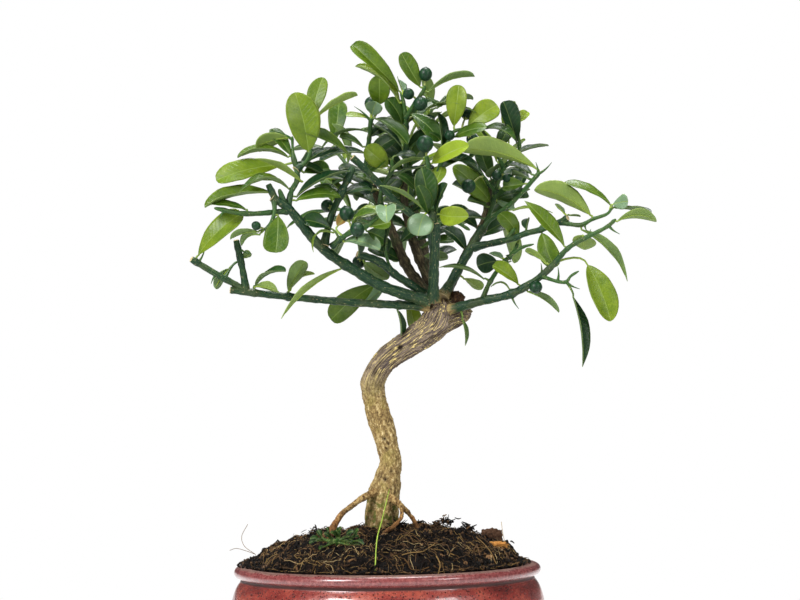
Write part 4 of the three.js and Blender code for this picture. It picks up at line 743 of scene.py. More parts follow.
def cut_wood_finish():
    """A sawn end with faint rings and a dark pith"""
    finish = Finish("cut_wood")
    grain = finish.attribute("grain", "Vector")
    away = grain.stretched(1, 1, 0).vector("LENGTH", output="Value")
    rings = (away * 9 + finish.noise(grain, 1.2) * 3).sine() * 0.5 + 0.5
    shade = finish.mix(rings * 0.6, (206, 188, 144), (158, 136, 96))
    shade = shade.over(1 - away.rise(0.15, 0.4), 92, 70, 44)
    return finish.done(shade, 0.8 + rings * 0.1, rings + finish.noise(grain, 4.0), 0.15)


def trunk_finish():
    """Cracked tan bark with painted shade in the deepest cracks and knot holes; grey with pale yellow lines
    on the bend, orange on the roots, mossy at the foot
    """
    finish = Finish("trunk_bark", Specular_IOR_Level=0.25)
    place, grain = finish.place(), finish.attribute("grain", "Vector")
    crack, zones = finish.attribute("crack"), finish.attribute("zones", "Vector")
    on_bend, on_root, on_core = (zones.part(index) for index in range(3))
    streaks = finish.noise(grain.stretched(1, 1, 0.13), 0.8, 5.0, 0.62)
    fine = finish.noise(grain.stretched(1, 1, 0.3), 2.6, 4.0, 0.6)
    scaly = finish.noise(place.stretched(1, 1, 0.7), 0.75, 7.0, 0.72)
    wide = finish.noise(place, 0.1, 2.0)
    low = (streaks * 0.22 + scaly * 0.78).ramp(
        (0.36, 70, 52, 32), (0.45, 124, 100, 60), (0.53, 164, 140, 88), (0.6, 206, 184, 134),
        (0.68, 234, 220, 182))
    low = low.over(fine.rise(0.54, 0.66) * 0.5, 96, 78, 52).over(wide.rise(0.5, 0.64) * 0.4, 138, 128, 62)
    warp = finish.noise(place, 0.16, 2.0) * 1.2
    along = grain.stretched(1, 1, 0.03)
    lines = 1 - abs(finish.noise(along, 0.62, 1.0) + warp * 0.14 - 0.58).rise(0.008, 0.02)
    more = 1 - abs(finish.noise(along, 1.1, 1.5) + warp * 0.1 - 0.56).rise(0.006, 0.02)
    high = streaks.ramp((0.36, 56, 46, 44), (0.48, 98, 86, 80), (0.62, 142, 126, 108))
    high = high.over(fine.rise(0.5, 0.62) * 0.5, 66, 54, 50)
    high = high.over(lines * scaly.rise(0.28, 0.4) * 0.95, 232, 210, 134)
    high = high.over(more * scaly.rise(0.34, 0.46) * 0.75, 206, 184, 124)
    warm = 1 - (place.part(2) + (wide - 0.5) * 20).rise(90, 96)
    root = scaly.ramp((0.36, 58, 40, 24), (0.48, 122, 92, 52), (0.6, 184, 156, 102))
    root = root.over(warm * 0.6, scaly.ramp((0.4, 92, 50, 22), (0.6, 190, 122, 60)))
    dead = fine.ramp((0.3, 34, 22, 16), (0.5, 72, 48, 32), (0.68, 120, 88, 58))
    shade = low.over(on_bend, high).over(on_root, root).over(on_core, dead)
    # Bark is darker in its cracks; the deepest splits and the knot holes get near-black painted shade
    shade = shade.over(crack * 0.75, 52, 38, 26).over(crack.rise(0.85, 1) * 0.85, 26, 18, 12)
    height = place.part(2) + (finish.noise(place, 0.2) - 0.5) * 16
    moss = (1 - height.rise(95, 106)) * finish.noise(place, 0.28, 4.0).rise(0.5, 0.56) * (1 - on_root)
    shade = shade.over(moss * 0.85, 82, 94, 28).over((1 - height.rise(84, 98)) * 0.55, 52, 38, 24)
    return finish.done(shade, 0.66 + fine * 0.26, streaks * 0.6 + fine * 0.5 + scaly, 0.6)


def fruit_finish():
    """Dark green glossy rind with tiny oil pits"""
    finish = Finish("fruit_rind", Specular_IOR_Level=0.3)
    skin = finish.attribute("skin", "Vector")
    cloud = finish.noise(skin, 0.35)
    pits = 1 - finish.spots(skin, 1.7).rise(0.02, 0.34)
    green = cloud.ramp((0.3, 6, 34, 18), (0.55, 12, 52, 26), (0.8, 34, 78, 30)).over(pits * 0.35, 60, 92, 44)
    return finish.done(green, 0.36 + cloud * 0.16, 1 - pits, 0.16)


def grainy_finish(name, grain, stops, dull, duller, depth, length=1):
    """A surface that one noise shades and roughens; its grains may be longer upwards"""
    finish = Finish(name)
    grit = finish.noise(finish.place().stretched(1, 1, 1 / length), *grain)
    return finish.done(grit.ramp(*stops), dull + grit * duller, grit, depth)


def crumb_finish(name, *shades):
    """Loose bits that differ in shade from one to the next; dark, middle and light"""
    finish = Finish(name, Specular_IOR_Level=0.2)
    grit = finish.noise(finish.place(), 1.6, 4.0, 0.65)
    stops = [(place, *shade) for place, shade in zip((0.3, 0.74, 1), shades)]
    shade = (finish.attribute("hue") * 0.8 + grit * 0.3).ramp(*stops)
    return finish.done(shade, 0.62 + grit * 0.3, grit, 0.4)


def peat_finish():
    """Near-black damp peat"""
    finish = Finish("peat", Specular_IOR_Level=0.15)
    place = finish.place()
    grit = finish.noise(place, 0.9, 6.0, 0.7)
    shade = grit.ramp((0.3, 4, 3, 2), (0.55, 13, 9, 7), (0.75, 40, 27, 19))
    shade = shade.over(finish.noise(place, 0.12).rise(0.5, 0.7) * 0.5, 30, 17, 12)
    return finish.done(shade, 0.75 + grit * 0.2, grit, 0.9)


def glaze_finish():
    """Red-brown glaze with dark pits, painted shade in the groove under the lip and worn grey on the rim"""
    finish = Finish("glaze", Coat_Roughness=0.1, Specular_IOR_Level=0.4)
    place = finish.place()
    high = place.part(2)
    cloud = finish.noise(place.stretched(1, 1, 2), 0.055, 4.0)
    speckle = finish.noise(place, 0.75, 4.0, 0.7)
    fine = finish.noise(place, 2.2, 4.0, 0.65)
    body = cloud.ramp((0.34, 92, 32, 30), (0.5, 126, 48, 42), (0.66, 160, 76, 60))
    body = body.over(speckle.rise(0.5, 0.62) * 0.5, 102, 38, 36)
    # Pale salmon flecks: partly light speckle in the glaze, partly painted highlight
    body = body.over(fine.rise(0.56, 0.66) * 0.5, 206, 124, 100)
    # The glaze runs thin under the lip, and dark specks show through
    thin = 1 - abs(high - 58 + (cloud - 0.5) * 6).rise(1, 5)
    specks = (1 - finish.spots(place, 0.7).rise(0.2, 0.34)) * (speckle + thin * 0.1).rise(0.45, 0.5)
    pits = 1 - finish.spots(place, 0.42).rise(0.07, 0.16)
    body = body.over(specks * (0.45 + thin * 0.5), 38, 18, 14).over(pits * 0.8, 48, 20, 18)
    mauve = speckle.ramp((0.35, 88, 36, 38), (0.5, 120, 56, 56), (0.68, 144, 82, 78))
    mauve = mauve.over(fine.rise(0.58, 0.68) * 0.45, 190, 140, 130)
    mauve = mauve.over((1 - fine.rise(0.36, 0.42)) * 0.6, 60, 30, 26)
    # Painted shade: the groove under the lip is darkened, and its glaze is also duller there
    groove_shade = (1 - abs(high - 61.9).rise(0.4, 1.2)) * 0.9
    body = body.over(high.rise(61.5, 63.5), mauve).over(groove_shade, 46, 22, 20)
    dusty = finish.noise(place, 0.09, 4.0, 0.6)
    worn = (high + (speckle - 0.5) * 1.8 + (dusty - 0.5) * 3).rise(67.6, 68.5) * 0.7
    body = body.over(worn, speckle.ramp((0.4, 84, 66, 56), (0.6, 132, 112, 98)))
    dull = 1 - (1 - groove_shade) * (1 - worn)
    bumps = speckle * 0.4 + fine * 0.2 + cloud * 0.8 - pits * 0.9 - specks * 0.5
    return finish.done(body, 0.18 + speckle * 0.14 + dull * 0.45, bumps, 0.35, Coat_Weight=0.6 - dull * 0.6)


def clay_finish():
    """Bare fired clay inside and under the pot"""
    finish = Finish("bare_clay")
    place = finish.place()
    grit = finish.noise(place, 1.3, 5.0, 0.7)
    turning = (place.part(2) * 3.2 + finish.noise(place, 0.1) * 4).sine()
    shade = grit.ramp((0.3, 120, 84, 66), (0.55, 156, 116, 92), (0.75, 186, 150, 122))
    return finish.done(shade, 0.82 + grit * 0.12, grit + turning * 0.2, 0.3)


FINISHES = {
    "leaf": (leaf_finish("leaf_top", True), leaf_finish("leaf_under", False), stalk_finish()),
    "green_bark": green_wood_finish(),
    "old_bark": old_bark_finish(),
    "cut": cut_wood_finish(),
    "trunk": trunk_finish(),
    "rind": fruit_finish(),
    "calyx": grainy_finish("fruit_calyx", (1.2,), ((0.35, 92, 112, 52), (0.6, 150, 158, 84),
                                                   (0.75, 120, 100, 60)), 0.5, 0.2, 0.1),
    "peat": peat_finish(),
    "crumbs": crumb_finish("peat_crumbs", (5, 4, 3), (20, 14, 10), (104, 78, 54)),
    "bits": crumb_finish("bark_crumbs", (8, 5, 4), (30, 18, 13), (132, 98, 64)),
    "fibre": crumb_finish("peat_fibre", (6, 4, 3), (22, 15, 11), (122, 92, 60)),
    "fine_root": crumb_finish("fine_root", (92, 66, 36), (158, 128, 78), (212, 190, 142)),
    "chip": crumb_finish("chip_bark", (30, 20, 14), (76, 52, 36), (130, 96, 64)),
    "sliver": crumb_finish("sliver_wood", (110, 70, 34), (180, 124, 60), (214, 164, 96)),
    "glaze": glaze_finish(),
    "clay": clay_finish(),
    "plastic": grainy_finish("mesh_plastic", (0.9, 5.0), ((0.4, 26, 30, 34), (0.6, 44, 46, 48),
                                                          (0.75, 92, 78, 62)), 0.45, 0.3, 0.15),
    "grass": grainy_finish("grass", (3.0,), ((0.3, 120, 150, 40), (0.55, 156, 184, 58),
                                             (0.75, 196, 206, 104)), 0.45, 0.2, 0.1, 1 / 0.12),
}
STEMS = path_recipe()
CRUMBS = scatter_recipe()


# ---- shapes

class Shape:
    """Points and faces gathered for one mesh, with values on the points"""

    def __init__(self, **kinds):
        self.kinds, self.points, self.faces, self.slots = kinds, [], [], []
        self.values = {name: [] for name in kinds}

    def add(self, points, faces, slot=0, **values):
        first = len(self.points)
        self.points += map(tuple, points)
        self.add_faces(first, faces, slot)
        for name, value in values.items():
            self.values[name] += value if isinstance(value, list) else [value] * len(points)

    def add_faces(self, first, faces, slot):
        self.faces += [tuple(first + index for index in face) for face in faces]
        self.slots += [slot] * len(faces)

    def mesh(self, name, *finishes):
        mesh = bpy.data.meshes.new(name)
        mesh.from_pydata(self.points, [], self.faces)
        for finish in finishes:
            mesh.materials.append(FINISHES.get(finish) if isinstance(finish, str) else finish)
        mesh.polygons.foreach_set("material_index", self.slots)
        mesh.polygons.foreach_set("use_smooth", [True] * len(self.faces))
        for attribute, kind in self.kinds.items():
            store(mesh, attribute, kind, self.values[attribute])
        mesh.update()
        return mesh


def store(mesh, name, kind, values):
    layer = mesh.attributes.new(name, kind, "POINT")
    flat = np.array(values, dtype=np.float32).ravel()
    layer.data.foreach_set("value" if kind == "FLOAT" else "vector", flat)


def gathered(items, label, width, kind=np.float32):
    """One value of every item of a mesh, as rows"""
    values = np.empty(len(items) * width, dtype=kind)
    items.foreach_get(label, values)
    return values.reshape(-1, width)


def smooth(rows, step):
    """Rows of a soft curve through the given rows, about a step apart"""
    rows = np.array(rows, dtype=float)
    ends = [2 * rows[0] - rows[1], *rows, 2 * rows[-1] - rows[-2]]
    line = []
    for a, b, c, d in zip(ends, ends[1:], ends[2:], ends[3:]):
        count = max(round(float(np.linalg.norm((c - b)[:3])) / step), 1)
        for t in np.arange(count) / count:
            line.append(0.5 * (2 * b + (c - a) * t + (2 * a - 5 * b + 4 * c - d) * t * t
                               + (3 * b - a - 3 * c + d) * t ** 3))
    return np.array([*line, rows[-1]])


def run_along(points):
    """Distance along a path at each of its points"""
    return np.concatenate([[0], np.cumsum(np.linalg.norm(np.diff(points, axis=0), axis=1))])


def frames(points):
    """Two directions across a path at each point, turned as little as possible"""
    along = np.gradient(points, axis=0)
    along /= np.linalg.norm(along, axis=1)[:, None]
    helper = (0, 0, 1) if abs(along[0][2]) < 0.9 else (1, 0, 0)
    across = np.cross(helper, along[0])
    rows = []
    for way in along:
        across = across - way * across.dot(way)
        across /= np.linalg.norm(across)
        rows.append(across)
    return np.array(rows), np.cross(along, rows)


def circle(radius, sides):
    """Places round an axis"""
    angles = [2 * math.pi * side / sides for side in range(sides)]
    return [(radius * math.cos(angle), radius * math.sin(angle)) for angle in angles]


def bands(rings, sides, first=0):
    """Faces between rings of points that follow each other"""
    starts = range(first, first + (rings - 1) * sides, sides)
    return [(near, beside, beside + sides, near + sides)
            for start in starts for near, beside in neighbours(start, sides)]


def neighbours(start, sides):
    return [(start + side, start + (side + 1) % sides) for side in range(sides)]


def skin(rings, sides, first, foot, tip):
    """Faces over rings of points, closed by a point at the foot and one at the tip"""
    faces = bands(rings, sides, first)
    last = neighbours(first + (rings - 1) * sides, sides)
    for (near, beside), (far, far_beside) in zip(neighbours(first, sides), last):
        faces += [(foot, beside, near), (tip, far, far_beside)]
    return faces


def tube(points, radii, sides):
    """A closed stem through the points; its ends are rounded off by one point each"""
    points = np.array(points, dtype=float)
    across, over = frames(points)
    angles = (np.arange(sides) * 2 * math.pi / sides)[None, :, None]
    rings = points[:, None] + (across[:, None] * np.cos(angles)
                               + over[:, None] * np.sin(angles)) * np.array(radii)[:, None, None]
    foot, tip = (points[end] + (points[end] - points[inner]) / np.linalg.norm(points[end] - points[inner])
                 * radii[end] * 0.5 for end, inner in ((0, 1), (-1, -2)))
    count = len(points) * sides
    return [*rings.reshape(-1, 3), foot, tip], skin(len(points), sides, 0, count, count + 1)


def path_mesh(name, paths, hues=()):
    """Bare paths as edges; each point keeps its radius in metres and its path's hue"""
    rows = np.concatenate(paths)
    lengths = [len(path) for path in paths]
    ends = set(np.cumsum(lengths).tolist())
    mesh = bpy.data.meshes.new(name)
    mesh.from_pydata(rows[:, :3].tolist(), [(i - 1, i) for i in range(1, len(rows)) if i not in ends], [])
    store(mesh, "thick", "FLOAT", rows[:, 3])
    if len(hues):
        store(mesh, "hue", "FLOAT", np.repeat(hues, lengths))
    return mesh


def stems(mesh, sides, relief, lumps, finish):
    """Round stems along the paths of a mesh, with lumps of a relief in millimetres"""
    return made_by(STEMS, mesh, Sides=sides, Relief=relief * MM, Lumps=lumps, Finish=FINISHES[finish])


def place_piece(piece, slot, *nodes):
    """Hands a finished mesh or object over as a piece that stands for its nodes"""
    if isinstance(piece, bpy.types.Mesh):
        piece = linked(piece.name, piece)
    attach(piece, BODY)
    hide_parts(*nodes)


def nearest_on_wood(paths, across, up):
    """The row of a branch's paths that is seen nearest to a place"""
    rows = np.concatenate([path[2:-2] if len(path) > 6 else path for path in paths])
    return rows[np.argmin(np.hypot(rows[:, 0] - across, rows[:, 1] - up))]


def in_scene(path):
    """Rows of a path as seen, turned into points and radii in the scene"""
    return [(*seen(*row[:3]), row[3] * MM) for row in path]


# ---- leaves

LEAF_ROWS = 15
LEAF_COLUMNS = np.array([-1, -0.82, -0.55, -0.27, -0.07, 0, 0.07, 0.27, 0.55, 0.82, 1])
LEAF_THICKNESS = 0.34 * MM
STALK_SIDES = 6
STALK_RADII = [(0.72, 0.46), (0.46, 0.08)]
# What chance gives a leaf, from and to: fold in degrees, curl, twist, sideways bend, hook of the tip,
# ripple of the margin, its waves and their start on either side, place of the greatest width,
# slimness of the foot, bluntness of the tip
LEAF_CHANCES = [(6, 24), (-0.25, 0.3), (-0.3, 0.3), (-0.045, 0.045), (-0.02, 0.07), (0.02, 0.07),
                (1.5, 3), (0, 6.28), (0, 6.28), (0.52, 0.66), (1.15, 1.5), (0.85, 1.15)]
# Leaves whose width is less than this share of their length are pointed at both ends
NARROW = 0.34
NARROW_OUTLINE = 0.48, 2.4, 2.2


def leaf_sides():
    """Faces of a leaf's upper and lower side; both share the margin, the foot and the tip"""
    rows, columns = LEAF_ROWS - 1, len(LEAF_COLUMNS)
    upper = np.arange(rows * columns).reshape(rows, columns)
    lower = upper.copy()
    lower[:, 1:-1] = rows * columns + np.arange(rows * (columns - 2)).reshape(rows, columns - 2)
    foot = rows * (2 * columns - 2)
    sides = []
    for grid in (upper.T.tolist(), lower[:, ::-1].T.tolist()):
        faces = []
        for left, right in zip(grid, grid[1:]):
            faces += zip(left, right, right[1:], left[1:])
            faces += [(foot, right[0], left[0]), (left[-1], right[-1], foot + 1)]
        sides.append(faces)
    return sides


LEAF_SIDES = leaf_sides()


def face_normal(foot, tip, face):
    """The upper side of a leaf, from its face angle"""
    along = (tip - foot).normalized()
    viewer = (Vector(EYE) * MM - foot).normalized()
    towards = (viewer - along * viewer.dot(along)).normalized()
    upwards = towards.cross(along).normalized()
    if upwards.z < 0:
        upwards.negate()
    angle = math.radians(face)
    return towards * math.cos(angle) + upwards * math.sin(angle)


def add_leaf(shape, start, foot, tip, normal, width, arch, tone, draw, jagged=0.0):
    """One leaf: a thin closed blade, and a stalk that runs on under it as the midrib"""
    along = tip - foot
    length = along.length
    along, normal = np.array(along / length), np.array(normal)
    side = np.cross(along, normal)
    fold, curl, twist, bend, hook, ripple, waves, right, left, *outline = (
        draw.uniform(*ends) for ends in LEAF_CHANCES)
    widest, slim, blunt = NARROW_OUTLINE if width * MM / length < NARROW else outline
    s = LEAF_COLUMNS
    t = (0.5 - 0.5 * np.cos(math.pi * np.arange(LEAF_ROWS + 1) / LEAF_ROWS))[:, None]
    half = (t / widest) ** (slim * widest) * ((1 - t) / (1 - widest)) ** (blunt * (1 - widest))
    half = half * width * MM / 2 * (1 + 0.006 * np.sin(t * 24) - jagged * np.abs(np.cos(t * 11)))
    half[0] = half[-1] = 0
    line = (np.array(foot) + along * length * t
            + normal * (4 * arch * length * t * (1 - t) - hook * length * t ** 3)
            + side * (bend * length * np.sin(math.pi * t)))
    turn = twist * (t - 0.25)
    sides = side * np.cos(turn) + normal * np.sin(turn)
    normals = normal * np.cos(turn) - side * np.sin(turn)
    fold = math.radians(fold) + curl * np.abs(s)
    wave = np.where(s > 0, right, left) + 2 * math.pi * waves * t
    lift = np.abs(s) * np.sin(fold) + ripple * s ** 2 * np.sin(wave) * 4 * (t * (1 - t))
    top = (line[:, None] + sides[:, None] * (s * np.cos(fold) * half)[..., None]
           + normals[:, None] * (lift * half)[..., None])
    thick = LEAF_THICKNESS * np.sqrt(np.clip(1 - np.abs(s) ** 3, 0, 1))
    under = top - normals[:, None] * thick[:, None]
    blade = np.stack(np.broadcast_arrays(s * half / MM, t * length / MM, s), axis=2)
    grids = [[*over[1:-1].reshape(-1, 3), *below[1:-1, 1:-1].reshape(-1, 3), *ends] for over, below, ends in (
        (top, under, (line[0], line[-1])), (blade, blade, ((0, 0, 0), (0, length / MM, 0))))]
    first = len(shape.points)
    shape.add(grids[0], LEAF_SIDES[0], 0, blade=grids[1], tone=tone)
    shape.add_faces(first, LEAF_SIDES[1], 1)
    add_stalk(shape, np.array(start), line, normals, along, tone)


def add_stalk(shape, start, line, normals, along, tone):
    foot, rows = line[0], np.arange(0, LEAF_ROWS - 1, 2)
    bend = foot - along * np.linalg.norm(foot - start) * 0.45
    free, under = np.linspace(0, 1, 6)[:-1, None], rows[:, None] / LEAF_ROWS
    points = [*(start * (1 - free) ** 2 + bend * 2 * free * (1 - free) + foot * free ** 2),
              *(line[rows] - normals[rows] * (LEAF_THICKNESS + 0.1 * MM * (1 - under)))]
    radii = [(thick + (thin - thick) * share) * MM
             for shares, (thick, thin) in zip((free, under), STALK_RADII) for share in shares.ravel()]
    shape.add(*tube(points, radii, STALK_SIDES), 2, blade=(0.0, 0.0, 0.0), tone=tone)


def leaf_shape():
    return Shape(blade="FLOAT_VECTOR", tone="FLOAT")


def place_leaves(shape, node):
    place_piece(shape.mesh(node + "_leaves", *FINISHES["leaf"]), "leaf", node)


def branch_leaves(shape, paths, rows, draw, jagged=0.0):
    for row in rows:
        foot_x, foot_z, tip_x, tip_z, behind, width, face, arch, tone = row[:9]
        root = nearest_on_wood(paths, *(row[9:] or row[:2]))
        start, foot = seen(*root[:3]), seen(foot_x, foot_z, root[2])
        tip = seen(tip_x, tip_z, root[2] + behind)
        if (start - foot).length < SHORTEST_STALK * MM:
            foot += (tip - foot).normalized() * SHORTEST_STALK * MM
        add_leaf(shape, start, foot, tip, face_normal(foot, tip, face), width, arch, tone, draw, jagged)


def spray_leaves(shape, path, count, long, draw):
    """Leaves that wind up a twig, each turned by the golden angle from the one below"""
    points = [seen(*row[:3]) for row in path]
    for index in range(count):
        share = index / (count - 1)
        place = min(int((SPRAY_BARE + (0.98 - SPRAY_BARE) * share) * (len(points) - 1)), len(points) - 2)
        root = points[place]
        along = (points[place + 1] - root).normalized()
        level = Vector((0, 0, 1)).cross(along).normalized()
        angle = index * GOLDEN_ANGLE
        lean = SPRAY_LEAN[0] + (SPRAY_LEAN[1] - SPRAY_LEAN[0]) * share
        outward = (level * math.cos(angle) + along.cross(level) * math.sin(angle) + along * lean).normalized()
        length = long * (0.86 + 0.14 * math.sin(2.3 * index + long)) * MM
        foot = root + outward * SPRAY_STALK * MM
        tip = foot + outward * length
        tip.z -= SPRAY_DROOP * length
        lie = (tip - foot).normalized()
        normal = (SPRAY_UP - lie * lie.dot(SPRAY_UP)).normalized()
        add_leaf(shape, root, foot, tip, normal, length / MM * SPRAY_WIDTH, SPRAY_ARCH,
                 draw.choice(SPRAY_TONES), draw)


# ---- wood of the branches

# A stem that ends at least this thick was cut off, and its flat end shows its wood
CUT_RADIUS = 1.25
CUT_AREA = math.pi * (0.95 * MM) ** 2
TAPER = np.array([0.9, 0.72, 0.4])


def wood_paths(branch, name):
    """Soft paths of a branch, swollen where leaves and thorns leave it and at its foot"""
    knot = 0.13 if name.startswith("limb") else 0.24
    roots = [row[9:] or row[:2] for row in branch["leaves"]] + [row[:2] for row in branch["thorns"]]
    paths = []
    for index, rows in enumerate(branch["wood"]):
        path = smooth(rows, 0.8)
        run = run_along(path[:, :3])
        swelling = 1 + 0.5 * np.exp(-run / 3.5)
        swelling += 0.05 * np.sin(run * 0.55 + index * 2) + 0.035 * np.sin(run * 1.31 + index)
        for root in roots:
            distance = np.hypot(*(path[:, :2] - root).T)
            if distance.min() < 9:
                away = np.hypot(*(path[:, :2] - path[distance.argmin(), :2]).T)
                swelling += knot * np.exp(-(away / 1.3) ** 2)
        if path[-1][3] >= CUT_RADIUS:
            swelling[-1] *= 0.86
        else:
            swelling[-3:] *= TAPER
        path[:, 3] *= swelling
        paths.append(path)
    return paths


def thorn_paths(paths, thorns):
    made = []
    share = np.linspace(0, 1, 9)[:, None]
    for foot_x, foot_z, tip_x, tip_z in thorns:
        root = nearest_on_wood(paths, foot_x, foot_z)
        tip = np.array([tip_x, tip_z, root[2] - 1])
        bow = np.array([tip_z - root[1], root[0] - tip_x, 0]) * 0.06
        line = root[:3] + (tip - root[:3]) * share + bow * np.sin(share * math.pi)
        made.append(np.hstack([line, 0.12 + 0.72 * (1 - share) ** 1.15]))
    return made


def place_wood(name, paths, sides, relief, bark, slot, *nodes):
    piece = stems(path_mesh(name, [in_scene(path) for path in paths]), sides, relief, 500.0, bark)
    piece.data.materials.append(FINISHES["cut"])
    for face in piece.data.polygons:
        if len(face.vertices) > 4 and face.area > CUT_AREA:
            face.material_index = 1
            face.use_smooth = False
    place_piece(piece, slot, *nodes)


def make_branches():
    """Every branch with its leaves; gives the paths of the wood"""
    wood_of = {}
    for name, branch in BRANCHES.items():
        paths = wood_of[name] = wood_paths(branch, name)
        look = (0.5, "old_bark", "bark") if name in OLD_LIMBS else (0.2, "green_bark", "green_wood")
        place_wood(name + "_wood", paths + thorn_paths(paths, branch["thorns"]), 12, *look, name)
        if branch["leaves"]:
            shape = leaf_shape()
            branch_leaves(shape, paths, branch["leaves"], random.Random(name))
            place_leaves(shape, name)
    return wood_of


def make_sprays():
    for name, (count, long, rows) in SPRAYS.items():
        path = smooth(rows, 0.8)
        path[:, 3] *= 1 + 0.5 * np.exp(-np.arange(len(path)) / 4)
        path[-3:, 3] *= TAPER
        place_wood(name + "_wood", [path], 10, 0.2, "green_bark", "green_wood", name)
        shape = leaf_shape()
        spray_leaves(shape, path, count, long, random.Random(name))
        place_leaves(shape, name)


# ---- fruits

# Distance from the middle towards the flower end and radius, as shares of the fruit's radius; the
# calyx also has the depth of its lobes
FRUIT_PROFILE = [(-1.02, 0.0), (-1.0, 0.07), (-1.03, 0.16), (-1.03, 0.26), (-0.98, 0.42), (-0.86, 0.6),
                 (-0.66, 0.78), (-0.38, 0.93), (-0.05, 1.0), (0.3, 0.96), (0.6, 0.82), (0.84, 0.6),
                 (0.97, 0.4), (1.04, 0.2), (1.09, 0.11), (1.15, 0.07), (1.17, 0.0)]
CALYX_PROFILE = [(-1.16, 0), (-1.15, 0.16), (-1.09, 0.3, 0.35), (-1.0, 0.36, 0.35), (-0.98, 0.3, 0.35),
                 (-0.97, 0)]
FRUIT_SIDES = 26
CALYX_SIDES = 20
CALYX_LOBES = 5


def lathe(shape, profile, axis, centre, scale, sides, slot=0):
    """A closed round shape about an axis; the profile's ends lie on it"""
    across = axis.orthogonal().normalized()
    over = axis.cross(across)
    points = []
    for height, radius, *lobe in profile:
        for side in [0] if radius == 0 else range(sides):
            angle = 2 * math.pi * side / sides
            push = radius * (1 + sum(lobe) * math.cos(CALYX_LOBES * angle))
            points.append((across * math.cos(angle) + over * math.sin(angle)) * push + axis * height)
    faces = skin(len(profile) - 2, sides, 1, 0, len(points) - 1)
    shape.add([centre + point * scale for point in points], faces, slot,
              skin=[tuple(point * scale / MM) for point in points])


def fruit_mesh(name, start, centre, radius):
    shape = Shape(skin="FLOAT_VECTOR")
    axis = (centre - start).normalized()
    scale = radius * MM / 1.05
    lathe(shape, FRUIT_PROFILE, axis, centre, scale, FRUIT_SIDES)
    lathe(shape, CALYX_PROFILE, axis, centre, scale, CALYX_SIDES, 1)
    top = centre - axis * scale * 1.08
    bow = Vector((0, 0, 0.12 * (top - start).length))
    shares = np.linspace(0, 1, 7)
    points = [start.lerp(top, share) + bow * math.sin(math.pi * share) for share in shares]
    radii = (0.62 - 0.2 * shares + 0.25 * shares ** 6) * MM
    shape.add(*tube(points, radii, 7), 1, skin=(0.0, 0.0, 0.0))
    return shape.mesh(name, "rind", "calyx")


def make_fruits(wood_of):
    for name, (bearer, across, up, behind, radius) in FRUITS.items():
        root = nearest_on_wood(wood_of[bearer], across, up)
        mesh = fruit_mesh(f"{name}_kumquat", seen(*root[:3]), seen(across, up, root[2] + behind), radius)
        place_piece(mesh, "fruit", name)


# ---- trunk

# Knots and scars on the trunk: across, up, back, reach, height
TRUNK_KNOTS = [(6.2, 176.5, -9, 1.5, -1.8), (-4.5, 129.5, -3, 3, 0.9), (-5, 112.5, -5, 2.4, -0.8),
               (33.5, 192.3, -4.5, 1.2, -1), (31, 191.5, -5, 1, -0.9), (-1.8, 130.6, -3.6, 1.2, -1.2),
               (0.6, 128.4, -3.8, 1, -1.1), (-0.6, 125.4, -3.8, 0.9, -1), (2, 114.5, -5.8, 1.1, -1.1),
               (-1.4, 110.6, -6.2, 1.3, -1.2), (3, 146, -2, 3, 0.8), (-12, 158, 0, 3, 0.8),
               (16, 176, -5, 3, 0.7), (29, 186.5, -5, 3.4, 1), (19, 192, -5, 3.6, 1.2)]
BARK_VOXEL = 0.5
# Kinds of wood in the trunk's piece
STEM, ROOT, CORE_WOOD = range(3)
# The bark changes over this much height, from where it is tan to where it is grey
BEND_FROM, BEND_OVER = 150, 16
# Noises of the bark: how fine across and along the grain, and how far it is shifted across and along
BARK_NOISES = {"split": (0.42, 0.07, 0, 0), "finer": (0.85, 0.16, 9, 0), "flakes": (0.3, 0.22, 0, 40),
               "lumps": (0.12, 0.05, 0, 80), "scales": (0.9, 0.7, 0, 20), "root_scales": (1.1, 0.8, 0, 60),
               "rough": (0.6, 0.5, 0, 0)}


def trunk_lines():
    """Every path of the trunk piece, in scene points, with its kind"""
    lines = [(in_scene(smooth(rows, 1)), kind) for rows, kind in (
        (TRUNK, STEM), (STUMP, STEM), (CORE, CORE_WOOD), *((root, ROOT) for root in SURFACE_ROOTS))]
    x, y, z = (value / MM for value in seen(TRUNK[0][0], ROOT_CROWN_HEIGHT, 0))
    for index in range(BURIED_ROOTS):
        heading = 2 * math.pi * (index + 0.5) / BURIED_ROOTS
        rows = [(x + out * math.cos(heading), y + out * math.sin(heading), z + down, radius)
                for out, down, radius in BURIED_ROOT]
        lines.append((smooth(rows, 1.5) * MM, ROOT))
    return [(np.array(line), kind) for line, kind in lines]


def grain_of(points, lines):
    """For each point its place in the grain of the nearest stem, in millimetres, and that stem's kind"""
    best = np.full(len(points), np.inf)
    grain, kinds = np.zeros((len(points), 3)), np.zeros(len(points), dtype=int)
    for number, (line, kind) in enumerate(lines):
        middles, radii = line[:, :3], line[:, 3]
        across, over = frames(middles)
        away = np.linalg.norm(points[:, None] - middles[None], axis=2)
        nearest = away.argmin(axis=1)
        share = away.min(axis=1) / radii[nearest]
        offset = points - middles[nearest]
        spot = np.stack([(offset * way[nearest]).sum(axis=1) for way in (across, over)], axis=1)
        spot *= (radii[nearest] / MM / np.maximum(np.hypot(*spot.T), 1e-9))[:, None]
        closer = share < best
        grain[closer] = np.column_stack([spot, run_along(middles)[nearest] / MM + number * 37])[closer]
        kinds[closer], best[closer] = kind, share[closer]
    return grain, kinds


